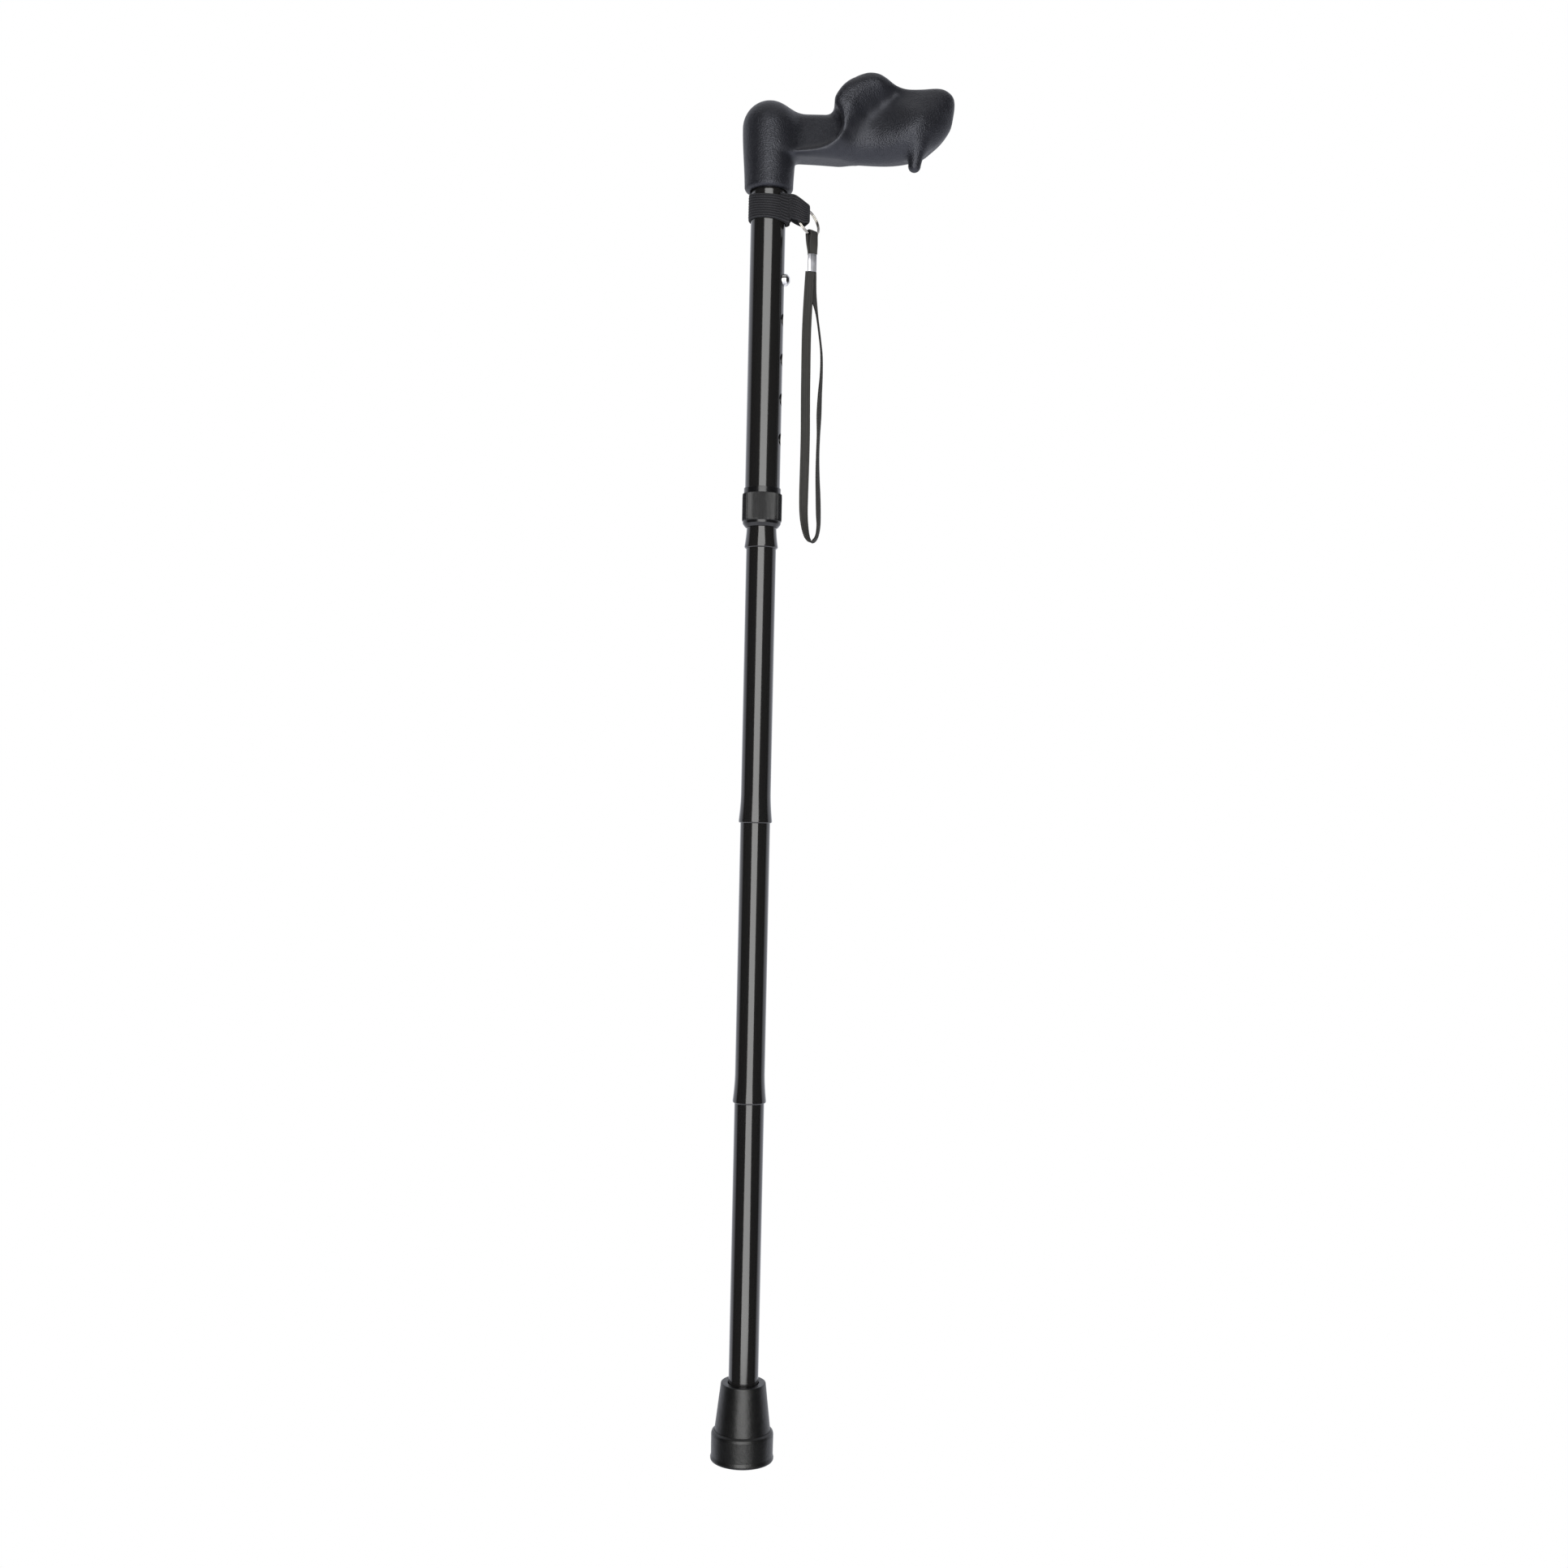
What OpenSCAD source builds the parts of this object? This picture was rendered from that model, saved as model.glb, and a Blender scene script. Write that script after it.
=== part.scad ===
// Folding walking cane with an anatomical grip, a push-button height setting
// and a wrist strap. Millimetres, +Z up, origin at the centre of the ferrule's
// sole, +X towards the palm rest.

/* [Tubes] */
// Outer diameter of the four lower tubes
section_od = 19.05; // [18.8:0.05:19.1]
// Outer diameter of the upper tube
upper_od = 22.2; // [22:0.1:22.6]
// Wall thickness of every tube
wall = 1.2; // [1.1:0.05:1.2]
// Height of the upper joint's mouth above the sole
mouth_1_z = 580.8; // [575:0.1:581]
// Height of the middle joint's mouth
mouth_2_z = 405.8; // [380:0.1:430]
// Height of the lower joint's mouth
mouth_3_z = 227.3; // [200:0.1:250]

/* [Folding joints] */
// Largest diameter of the belled mouths
bell_od = 21.4; // [21.2:0.1:21.8]
// Length of the flare of the middle and lower mouths
bell_length = 17.6; // [14:0.2:20]
// How far a spigot reaches above the mouth that it enters
spigot_reach = 48; // [40:1:60]
// Diameter of the elastic cord inside the sections
elastic_d = 4; // [3:0.5:5]

/* [Height setting] */
// Height of the topmost adjusting hole, which holds the button at rest
button_z = 752; // [748:0.5:754]
// Distance from one adjusting hole to the next
hole_pitch = 25.4; // [20:0.1:26]
// Number of adjusting holes
hole_count = 5; // [3:1:5]
// Diameter of the adjusting holes
hole_d = 7.8; // [7:0.1:8.2]
// Direction of the holes round the tube
hole_azimuth = -10; // [-30:1:30]

/* [Lock collar] */
// Diameter of the knurled ring
knurl_d = 25.3; // [25:0.1:27]
// Number of ribs on the knurled ring
knurl_ribs = 64; // [40:2:80]

/* [Grip] */
// Height of the stem's lower edge
stem_z = 808; // [807:0.5:812]
// Diameter of the stem at its lower edge
stem_d = 31; // [29:0.5:33]
// Diameter of the dome on top of the stem
dome_d = 34.8; // [33:0.2:36]
// Height of the dome's centre
dome_z = 848.5; // [846:0.5:850]

/* [Ferrule] */
// Diameter of the ferrule's base
ferrule_d = 40.4; // [38:0.2:44]
// Height of the ferrule
ferrule_height = 49; // [45:1:60]

/* [Wrist strap] */
// Width of the braided strap
strap_width = 6; // [5:0.5:8]
// Thickness of the braided strap
strap_thickness = 1.4; // [1:0.1:2]
// Height of the webbing band's lower edge
band_z = 788.5; // [786:0.5:790]
// Width of the webbing band
band_width = 17; // [14:0.5:18]

/* [Hidden] */
$fn = 64;

section_r = section_od / 2;
bore_r = section_r - wall;
upper_r = upper_od / 2;
upper_bore_r = upper_r - wall;
running = 0.075;
slip = 0.02;

upper_tube_low = 600;
upper_tube_top = 846;
extension_top = 776;
section_4_low = 8;

// Where one tube ends inside the bell of the tube above it
entry_depth = 4;
entry_bore_r = section_r + running;
bell_1_length = 12.5;
lip_height = 1.2;
spigot_r = bore_r - running;
spigot_root = 30;
cord_bore_r = elastic_d / 2 + 1;
elastic_split_1 = mouth_1_z - 20;
elastic_split_2 = mouth_2_z - 20;
anchor_top_z = 690;
anchor_bottom_z = 56;
anchor_height = 9;

button_r = hole_d / 2 - 0.1;
button_tip_r = upper_r + 3.7;
leaf_width = 6;
leaf_thickness = 0.6;

rubber = "#1b1b1d";
gloss_black = "#17171a";
plastic_black = "#232428";
webbing_black = "#1c1c1f";
steel = "silver";
bare = "#b9bbbe";

// ---- shared shapes ----

// Moves a shape from beside the axis to the side that the holes face
module towards_holes() {
    rotate([0, 0, hole_azimuth]) children();
}

// A ring with a rectangular section
module ring(r_out, r_in, low, high) {
    translate([0, 0, low])
        difference() {
            cylinder(r = r_out, h = high - low);
            translate([0, 0, -1]) cylinder(r = r_in, h = high - low + 2);
        }
}

// Outer radius of a flare at t, from 0 at the mouth to 1 where the tube is plain
function bell_r(t) = section_r + (bell_od / 2 - section_r) * pow(1 - t, 1.7);

// A tube from low to top whose lower end is belled, with a rolled lip, to take the next section
module belled_tube(low, top, length) {
    steps = 10;
    flare_low = low + lip_height;
    rotate_extrude()
        polygon(concat(
            [[section_r, top]],
            [for (i = [steps:-1:0]) [bell_r(i / steps), flare_low + length * i / steps]],
            [
                [bell_od / 2 - 0.15, low + 0.6],
                [bell_od / 2 - 0.5, low + 0.15],
                [entry_bore_r + 0.1, low],
                [entry_bore_r, low + 0.1],
                [entry_bore_r, low + entry_depth + 0.6],
                [bore_r, flare_low + length],
                [bore_r, top]
            ]
        ));
}

// The turned plug in a section's top end, which enters the bell above it
module spigot(mouth) {
    shoulder = section_r - slip;
    cone_top = mouth + bell_1_length - 0.5;
    nose = mouth + spigot_reach;
    color(bare)
        difference() {
            rotate_extrude()
                polygon([
                    [0, mouth - spigot_root],
                    [bore_r - slip, mouth - spigot_root],
                    [bore_r - slip, mouth + entry_depth],
                    [shoulder, mouth + entry_depth],
                    [spigot_r, cone_top],
                    [spigot_r, nose - 2],
                    [spigot_r - 2, nose],
                    [0, nose]
                ]);
            translate([0, 0, mouth - spigot_root - 1])
                cylinder(r = cord_bore_r, h = spigot_root + spigot_reach + 2);
        }
}

// A stretch of the elastic cord
module elastic(low, high) {
    translate([0, 0, low]) cylinder(d = elastic_d, h = high - low);
}

// A flat strip of constant thickness that follows points in the XZ plane
function strip_normal(p, i) =
    let (a = p[max(i - 1, 0)], b = p[min(i + 1, len(p) - 1)], d = b - a)
    [-d[1], d[0]] / norm(d);
function strip_side(p, s) = [for (i = [0:len(p) - 1]) p[i] + s * strip_normal(p, i)];
module leaf(points, thickness, width) {
    left = strip_side(points, thickness / 2);
    right = strip_side(points, -thickness / 2);
    translate([0, width / 2, 0])
        rotate([90, 0, 0])
            linear_extrude(height = width)
                polygon(concat(left, [for (i = [len(right) - 1:-1:0]) right[i]]));
}

// A smooth curve through a list of vectors, at s from 0 to the last index
function smooth(p, s) =
    let (
        n = len(p) - 1,
        i = min(floor(s), n - 1),
        t = s - i,
        p0 = p[max(i - 1, 0)],
        p1 = p[i],
        p2 = p[i + 1],
        p3 = p[min(i + 2, n)]
    )
    (2 * p1 + (p2 - p0) * t + (2 * p0 - 5 * p1 + 4 * p2 - p3) * t * t
        + (3 * p1 - p0 - 3 * p2 + p3) * t * t * t) / 2;

// A closed solid through rings that all have the same number of points
module loft(rings) {
    n = len(rings[0]);
    last = len(rings) - 1;
    sides = [
        for (i = [0:last - 1], j = [0:n - 1])
            let (k = (j + 1) % n)
            each [
                [i * n + j, i * n + k, (i + 1) * n + j],
                [i * n + k, (i + 1) * n + k, (i + 1) * n + j]
            ]
    ];
    first_cap = [for (j = [n - 1:-1:0]) j];
    last_cap = [for (j = [0:n - 1]) last * n + j];
    polyhedron(points = [for (r = rings) each r], faces = concat([first_cap], sides, [last_cap]));
}

// ---- grip ----

// Sections of the palm rest from the stem to the rear end:
// [x, lowest z, highest z, half thickness, lean towards -Y in degrees, middle y]
grip_sections = [
    [8, 830, 857.5, 12, 0, 0],
    [20, 828, 858, 13, 0, 0],
    [30, 827.5, 858.5, 13.5, 4, 0],
    [38, 827.5, 861, 14, 12, 0],
    [42, 827.5, 872, 14.5, 22, -1],
    [49, 827.5, 881.5, 15.5, 28, -2],
    [61, 827.5, 885.5, 16, 28, -2],
    [74, 827.5, 882.5, 15.5, 20, -1],
    [86, 828, 876, 15, 8, 0],
    [97, 830.5, 876.5, 14.5, -2, 0],
    [107, 836, 877, 13, -8, 0],
    [113, 842, 874.5, 10.5, -8, 0],
    [116.5, 852, 868, 5, -8, 0]
];
grip_points = 28;
grip_steps = 3;
squareness = 2.4;

function power(v) = sign(v) * pow(abs(v), 2 / squareness);
function grip_ring(s) =
    let (
        half = (s[2] - s[1]) / 2,
        lean = s[4],
        long = sqrt(half * half - pow(s[3] * sin(lean), 2)) / cos(lean)
    )
    [
        for (i = [0:grip_points - 1])
            let (
                a = 360 * i / grip_points,
                u = long * power(cos(a)),
                v = s[3] * power(sin(a))
            )
            [s[0], s[5] - u * sin(lean) + v * cos(lean), s[1] + half + u * cos(lean) + v * sin(lean)]
    ];

module palm_rest() {
    last = (len(grip_sections) - 1) * grip_steps;
    loft([for (i = [0:last]) grip_ring(smooth(grip_sections, i / grip_steps))]);
}

// The small stop for the ring finger under the rear of the palm rest
module finger_stop() {
    translate([94.5, -5, 0]) {
        translate([0, 0, 825]) sphere(r = 4);
        translate([0, 0, 825]) cylinder(r1 = 4, r2 = 6.5, h = 12);
    }
}

module stem() {
    dome_r = dome_d / 2;
    edge = 2;
    rotate_extrude()
        polygon(concat(
            [[0, stem_z], [stem_d / 2 - edge, stem_z]],
            [for (a = [-60:30:0]) [stem_d / 2 - edge + edge * cos(a), stem_z + edge + edge * sin(a)]],
            [for (a = [0:10:90]) [dome_r * cos(a), dome_z + dome_r * sin(a)]]
        ));
}

module handle() {
    color(plastic_black)
        difference() {
            union() {
                stem();
                palm_rest();
                finger_stop();
            }
            translate([0, 0, stem_z - 1])
                cylinder(r = upper_r + slip, h = upper_tube_top + 0.2 - stem_z + 1);
        }
}

// Closes the top of the upper tube inside the grip
module handle_plug() {
    color(plastic_black)
        translate([0, 0, upper_tube_top - 16]) cylinder(r = upper_bore_r - slip, h = 15.5);
}

// ---- upper tube, height setting and lock collar ----

module upper_tube() {
    color(gloss_black)
        difference() {
            ring(upper_r, upper_bore_r, upper_tube_low, upper_tube_top);
            towards_holes()
                for (i = [0:hole_count - 1])
                    translate([0, 0, button_z - i * hole_pitch])
                        rotate([0, 90, 0]) cylinder(d = hole_d, h = upper_od);
        }
}

collar_low = 594.2;
collar_top = 615.4;
rim_top = 619.1;
thread_r = 11.85;
sleeve_low = 598.4;

// The threaded bush on the upper tube's lower end, with its rim above the collar
module collar_sleeve() {
    color(plastic_black)
        difference() {
            rotate_extrude()
                polygon([
                    [section_r + running, sleeve_low],
                    [thread_r - 0.6, sleeve_low],
                    [thread_r, sleeve_low + 0.8],
                    [thread_r, collar_top + 0.2],
                    [11.75, collar_top + 0.2],
                    [11.75, rim_top - 0.4],
                    [11.4, rim_top],
                    [section_r + running, rim_top]
                ]);
            translate([0, 0, upper_tube_low - 0.02])
                cylinder(r = upper_r + slip, h = rim_top - upper_tube_low + 1);
        }
}

// The soft split ring that the collar squeezes on to the extension tube
module compression_ring() {
    color("#3a3a3d")
        difference() {
            rotate_extrude()
                polygon([
                    [section_r + running, collar_low + 1.05],
                    [9.9, collar_low + 1.05],
                    [11.3, collar_low + 1.97],
                    [11.3, sleeve_low - 0.1],
                    [section_r + running, sleeve_low - 0.1]
                ]);
            translate([-14, -0.6, collar_low]) cube([6, 1.2, 6]);
        }
}

// The nut that locks the height: a smooth nose below a ring of fine upright ribs
module lock_collar() {
    knurl_low = 599.5;
    knurl_r = knurl_d / 2;
    rib = 0.35;
    $fn = 192;
    color(plastic_black)
        difference() {
            union() {
                rotate_extrude()
                    polygon([
                        [0, collar_low],
                        [10.15, collar_low],
                        [11.9, collar_low + 2.6],
                        [12.2, collar_low + 3.4],
                        [12.2, knurl_low],
                        [0, knurl_low]
                    ]);
                translate([0, 0, knurl_low])
                    linear_extrude(height = collar_top - knurl_low)
                        polygon([
                            for (i = [0:2 * knurl_ribs - 1])
                                let (a = 180 * i / knurl_ribs, r = knurl_r - rib * (i % 2))
                                [r * cos(a), r * sin(a)]
                        ]);
            }
            rotate_extrude()
                polygon([
                    [0, collar_low - 1],
                    [9.8, collar_low - 1],
                    [9.8, collar_low + 0.9],
                    [11.35, collar_low + 1.9],
                    [11.35, sleeve_low - 0.9],
                    [thread_r + running, sleeve_low],
                    [thread_r + running, collar_top + 1],
                    [0, collar_top + 1]
                ]);
        }
}

module extension_tube() {
    color(gloss_black)
        difference() {
            belled_tube(mouth_1_z, extension_top, bell_1_length);
            towards_holes()
                translate([0, 0, button_z]) rotate([0, 90, 0]) cylinder(d = hole_d, h = section_od);
        }
}

// The nylon bush that guides the extension's top end in the upper tube
module extension_bush() {
    color("#d8d6cf")
        difference() {
            rotate_extrude()
                polygon([
                    [0, extension_top - 10],
                    [bore_r - slip, extension_top - 10],
                    [bore_r - slip, extension_top],
                    [upper_bore_r - 0.08, extension_top],
                    [upper_bore_r - 0.08, extension_top + 4],
                    [0, extension_top + 4]
                ]);
            translate([0, 0, extension_top - 11]) cylinder(r = 5, h = 20);
        }
}

// The V-shaped leaf spring behind the button
module snap_spring() {
    color(steel)
        towards_holes()
            leaf([[5.6, 761], [5.6, 744], [0.6, 718], [-0.8, 715.5], [-2.2, 718], [-7, 757]],
                leaf_thickness, leaf_width);
}

module snap_button() {
    flange_x = 6.2;
    dome_r = 4.2;
    shaft_end = button_tip_r - 2.4;
    color(steel)
        towards_holes()
            translate([0, 0, button_z])
                rotate([0, 90, 0])
                    rotate_extrude()
                        polygon(concat(
                            [[0, flange_x], [4.4, flange_x], [4.4, flange_x + 0.7], [button_r, flange_x + 0.7]],
                            [
                                for (i = [0:8])
                                    let (a = 90 * i / 8)
                                    [button_r * cos(a), shaft_end + (button_tip_r - shaft_end) * sin(a)]
                            ]
                        ));
}

// ---- elastic cord and its anchors ----

module cord_anchor(low) {
    color(plastic_black)
        ring(bore_r - slip, elastic_d / 2 + 0.05, low, low + anchor_height);
}
module cord_anchor_top() {
    cord_anchor(anchor_top_z);
}
module cord_anchor_bottom() {
    cord_anchor(anchor_bottom_z);
}

module elastic_1() {
    knot_z = anchor_top_z + anchor_height + 2.6;
    color("#2c2c30") {
        elastic(elastic_split_1, knot_z);
        translate([0, 0, knot_z]) sphere(r = 3.3);
    }
}
module elastic_2() {
    color("#2c2c30") elastic(elastic_split_2, elastic_split_1);
}
module elastic_3() {
    knot_z = anchor_bottom_z - 2.6;
    color("#2c2c30") {
        elastic(knot_z, elastic_split_2);
        translate([0, 0, knot_z]) sphere(r = 3.3);
    }
}

// ---- lower sections ----

module section_2_tube() {
    color(gloss_black) belled_tube(mouth_2_z, mouth_1_z + entry_depth, bell_length);
}
module section_3_tube() {
    color(gloss_black) belled_tube(mouth_3_z, mouth_2_z + entry_depth, bell_length);
}
module section_4_tube() {
    color(gloss_black) ring(section_r, bore_r, section_4_low, mouth_3_z + entry_depth);
}
module spigot_2() {
    spigot(mouth_1_z);
}
module spigot_3() {
    spigot(mouth_2_z);
}
module spigot_4() {
    spigot(mouth_3_z);
}

// ---- ferrule ----

module ferrule() {
    base_r = ferrule_d / 2;
    groove_radii = [8, 12, 16];
    rim_r = 14.4;
    color(rubber)
        difference() {
            rotate_extrude()
                polygon([
                    [0, 0],
                    [base_r - 1.6, 0],
                    [base_r - 0.4, 1],
                    [base_r, 2.4],
                    [base_r, 16],
                    [base_r - 0.5, 17.5],
                    [base_r - 1.6, 18.4],
                    [18.1, 18.6],
                    [17.7, 19.4],
                    [rim_r + 0.1, ferrule_height - 1.6],
                    [rim_r - 0.4, ferrule_height - 0.4],
                    [rim_r - 1.2, ferrule_height],
                    [0, ferrule_height]
                ]);
            translate([0, 0, section_4_low - 2])
                cylinder(r = section_r + 0.02, h = ferrule_height);
            for (r = groove_radii) ring(r + 1, r - 1, -1, 1.8);
        }
}

// The steel disc that keeps the tube from cutting through the rubber
module ferrule_washer() {
    color(steel)
        translate([0, 0, section_4_low - 1.98]) cylinder(r = section_r - 0.1, h = 1.96);
}

// ---- wrist strap ----

// Ring centre, and the turns that set its plane: round Z, then out of upright
ring_centre = [25.6, 1.5, 790.6];
ring_turn = 49;
ring_tilt = 19;
ring_mean_r = 9.6;
ring_wire_r = 0.8;

band_r = upper_r + 0.3;
band_thickness = 1.5;
loop_centre = [19.4, -2.4];
loop_r = 6.2;
loop_wall = 1.2;

// The webbing round the tube, sewn to itself beside it
module webbing_band() {
    color(webbing_black) {
        ring(band_r + band_thickness, band_r, band_z, band_z + band_width);
    }
}

// The fold of webbing beside the band that holds the split ring
module webbing_loop() {
    loop_low = band_z - 1;
    loop_top = band_z + 14.5;
    color(webbing_black)
        difference() {
            translate([loop_centre[0], loop_centre[1], loop_low]) cylinder(r = loop_r, h = loop_top - loop_low);
            translate([loop_centre[0], loop_centre[1], loop_low - 1])
                cylinder(r = loop_r - loop_wall, h = band_width + 4);
            translate([0, 0, loop_low - 1]) cylinder(r = band_r + band_thickness, h = band_width + 4);
            translate([loop_centre[0] - 0.5, -2, band_z + 9.4]) cube([9, 8, 10]);
        }
}

module split_ring() {
    color(steel)
        translate(ring_centre)
            rotate([0, 0, ring_turn])
                rotate([90 - ring_tilt, 0, 0])
                    rotate_extrude() translate([ring_mean_r, 0]) circle(r = ring_wire_r, $fn = 24);
}

// The strap's short fold over the ring, above the crimp
strap_top = [28, -0.6, 781.7];
head_inner_r = ring_wire_r + 0.45;
crimp_low = 758;
crimp_top = 769.2;
crimp_x = 28.7;
module strap_head() {
    fold_r = head_inner_r + 1;
    color(webbing_black)
        translate([strap_top[0], strap_top[1], 0])
            rotate([0, 0, ring_turn])
                translate([strap_width / 2, 0, 0])
                    rotate([0, -90, 0])
                        linear_extrude(height = strap_width)
                            difference() {
                                union() {
                                    translate([strap_top[2], 0]) circle(r = fold_r);
                                    polygon([
                                        [crimp_top, -1.3],
                                        [strap_top[2], -fold_r],
                                        [strap_top[2], fold_r],
                                        [crimp_top, 1.3]
                                    ]);
                                }
                                translate([strap_top[2], 0]) circle(r = head_inner_r);
                                polygon([
                                    [crimp_top + 2, -0.2],
                                    [strap_top[2], -head_inner_r],
                                    [strap_top[2], head_inner_r],
                                    [crimp_top + 2, 0.2]
                                ]);
                            }
}

// The bent metal clip that holds the strap's three layers together
module strap_crimp() {
    color(steel)
        translate([crimp_x - 3.3, -2.6, crimp_low]) cube([6.6, 4.2, crimp_top - crimp_low]);
}

// Route of the hanging loop: [x, y, z, turn of the strap's width from X towards Y]
strap_route = [
    [27.4, -1.2, 758, 0],
    [26.8, -1.2, 745, 0],
    [26.3, -1.2, 732, 4],
    [26, -1.2, 719, 6],
    [26, -1, 706, 4],
    [26.1, -1, 693, 0],
    [26.2, -1, 680, -4],
    [26.4, -1, 667, -4],
    [26.6, -1, 654, 0],
    [26.6, -1, 641, 4],
    [26.5, -1, 628, 6],
    [26.4, -1, 615, 12],
    [26.6, -0.8, 604, 24],
    [27.6, -0.5, 595, 40],
    [29.4, -0.2, 588.5, 56],
    [32.2, 0, 586, 68],
    [35, 0.2, 588.8, 76],
    [36.2, 0.4, 595.5, 72],
    [36, 0.6, 604, 64],
    [35.6, 0.6, 615, 64],
    [35, 0.6, 628, 70],
    [34.8, 0.6, 641, 76],
    [35, 0.6, 654, 76],
    [35.1, 0.6, 667, 64],
    [35.4, 0.6, 680, 70],
    [36, 0.6, 693, 80],
    [35.8, 0.6, 706, 84],
    [34.2, 0.6, 719, 88],
    [32.2, 1.2, 732, 80],
    [29.6, 2.4, 745, 40],
    [28.6, 0.9, 758, 8]
];

// An eight-sided section of the strap, flat across and thin through
function strap_ring(i) =
    let (
        p = strap_route[i],
        a = strap_route[max(i - 1, 0)],
        b = strap_route[min(i + 1, len(strap_route) - 1)],
        d = [b[0] - a[0], b[1] - a[1], b[2] - a[2]],
        along = (i == 0 || i == len(strap_route) - 1) ? [0, 0, sign(d[2])] : d / norm(d),
        flat = [cos(p[3]), sin(p[3]), 0],
        across = flat - (flat * along) * along,
        w = across / norm(across),
        n = cross(along, w),
        half = strap_width / 2,
        edge = half - 0.6,
        thin = strap_thickness / 2
    )
    [
        for (c = [
            [half, 0], [edge, thin], [0, thin], [-edge, thin],
            [-half, 0], [-edge, -thin], [0, -thin], [edge, -thin]
        ])
            [p[0], p[1], p[2]] + c[0] * w + c[1] * n
    ];

module wrist_strap() {
    color(webbing_black) loft([for (i = [len(strap_route) - 1:-1:0]) strap_ring(i)]);
}

handle();
handle_plug();
upper_tube();
collar_sleeve();
compression_ring();
lock_collar();
extension_tube();
extension_bush();
snap_spring();
snap_button();
cord_anchor_top();
elastic_1();
elastic_2();
elastic_3();
section_2_tube();
section_3_tube();
section_4_tube();
spigot_2();
spigot_3();
spigot_4();
cord_anchor_bottom();
ferrule_washer();
ferrule();
webbing_band();
webbing_loop();
split_ring();
strap_head();
strap_crimp();
wrist_strap();
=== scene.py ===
"""The looks of a folding walking cane with an anatomical grip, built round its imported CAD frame.

+Z up, origin at the centre of the ferrule's sole. Shapes are worked out in millimetres, and
mesh_object turns them into metres.
"""

import math

import bmesh
import bpy
import numpy as np
from mathutils import Matrix, Vector


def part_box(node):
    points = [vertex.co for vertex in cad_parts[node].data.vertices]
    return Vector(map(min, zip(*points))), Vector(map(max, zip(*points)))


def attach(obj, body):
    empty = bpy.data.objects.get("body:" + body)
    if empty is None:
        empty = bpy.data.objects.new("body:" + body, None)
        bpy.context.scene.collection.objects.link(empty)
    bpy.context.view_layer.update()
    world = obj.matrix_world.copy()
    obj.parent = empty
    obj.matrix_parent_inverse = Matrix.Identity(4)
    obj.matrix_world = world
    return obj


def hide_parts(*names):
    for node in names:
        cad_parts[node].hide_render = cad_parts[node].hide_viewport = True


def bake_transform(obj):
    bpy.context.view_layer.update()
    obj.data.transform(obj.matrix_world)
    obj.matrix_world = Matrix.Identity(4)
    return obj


MM = 0.001
TAU = 2 * math.pi

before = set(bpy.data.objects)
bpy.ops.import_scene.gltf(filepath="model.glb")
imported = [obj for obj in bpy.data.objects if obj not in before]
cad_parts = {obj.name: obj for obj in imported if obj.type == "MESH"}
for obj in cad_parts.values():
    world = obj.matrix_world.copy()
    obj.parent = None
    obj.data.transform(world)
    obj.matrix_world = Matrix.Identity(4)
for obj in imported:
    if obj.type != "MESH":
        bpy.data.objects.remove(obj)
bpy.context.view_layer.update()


def box(node):
    """Lowest and highest corner of a CAD node in millimetres."""
    lower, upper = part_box(node)
    return lower / MM, upper / MM


def low(node):
    """Height of a CAD node's lowest point."""
    return box(node)[0].z


def high(node):
    """Height of a CAD node's highest point."""
    return box(node)[1].z


def radius(node):
    """Outer radius of a CAD node that is round about the cane's axis."""
    return box(node)[1].y


def button_height():
    return (low("snap_button") + high("snap_button")) / 2


# ---- camera ----

def make_camera():
    """A level camera in front of the cane, rolled a little, at the photograph's distance."""
    data = bpy.data.cameras.new("camera")
    data.sensor_width = 36
    data.lens = 40.54
    data.clip_end = 50
    camera = bpy.data.objects.new("camera", data)
    roll = math.radians(1.226)
    right = Vector((math.cos(roll), 0, math.sin(roll)))
    up = Vector((-math.sin(roll), 0, math.cos(roll)))
    back = Vector((0, -1, 0))
    place = Matrix((right, up, back)).transposed().to_4x4()
    place.translation = (17.8 * MM, -1127 * MM, 431 * MM)
    camera.matrix_world = place
    bpy.context.scene.collection.objects.link(camera)
    bpy.context.scene.camera = camera


make_camera()


# ---- mesh tools ----

def mesh_object(name, points, faces, unit=MM):
    """A smooth-shaded mesh object at the origin."""
    mesh = bpy.data.meshes.new(name)
    corners = np.array(points, float) * unit
    mesh.from_pydata(corners.tolist(), [], [tuple(map(int, f)) for f in faces])
    mesh.polygons.foreach_set("use_smooth", [True] * len(mesh.polygons))
    mesh.update()
    made = bpy.data.objects.new(name, mesh)
    bpy.context.scene.collection.objects.link(made)
    return made


def tidy_normals(piece, sharp_degrees=None):
    """Makes every face look outwards, and splits the shading at edges sharper than an angle."""
    work = bmesh.new()
    work.from_mesh(piece.data)
    bmesh.ops.recalc_face_normals(work, faces=work.faces)
    if sharp_degrees:
        for edge in work.edges:
            if len(edge.link_faces) == 2 and edge.calc_face_angle(0) > math.radians(sharp_degrees):
                edge.smooth = False
    work.to_mesh(piece.data)
    work.free()


def place_piece(piece, body, slot, *nodes):
    """Gives a piece its slot's look, and makes it ride on its body and stand for its CAD nodes."""
    piece.data.materials.append(LOOKS[slot])
    if body:
        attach(piece, body)
    if nodes:
        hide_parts(*nodes)
    return piece


def grid_faces(rows, columns, close_rows=False):
    """Quads over rings of points, row by row, facing outwards when rows go up and columns left."""
    faces = []
    for i in range(rows if close_rows else rows - 1):
        for j in range(columns):
            k, m = (j + 1) % columns, (i + 1) % rows
            faces.append((i * columns + j, i * columns + k, m * columns + k, m * columns + j))
    return faces


def end_caps(rows, columns):
    """The two faces that close the ends of a grid of rings."""
    return [tuple(range(columns - 1, -1, -1)), tuple(range((rows - 1) * columns, rows * columns))]


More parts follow.
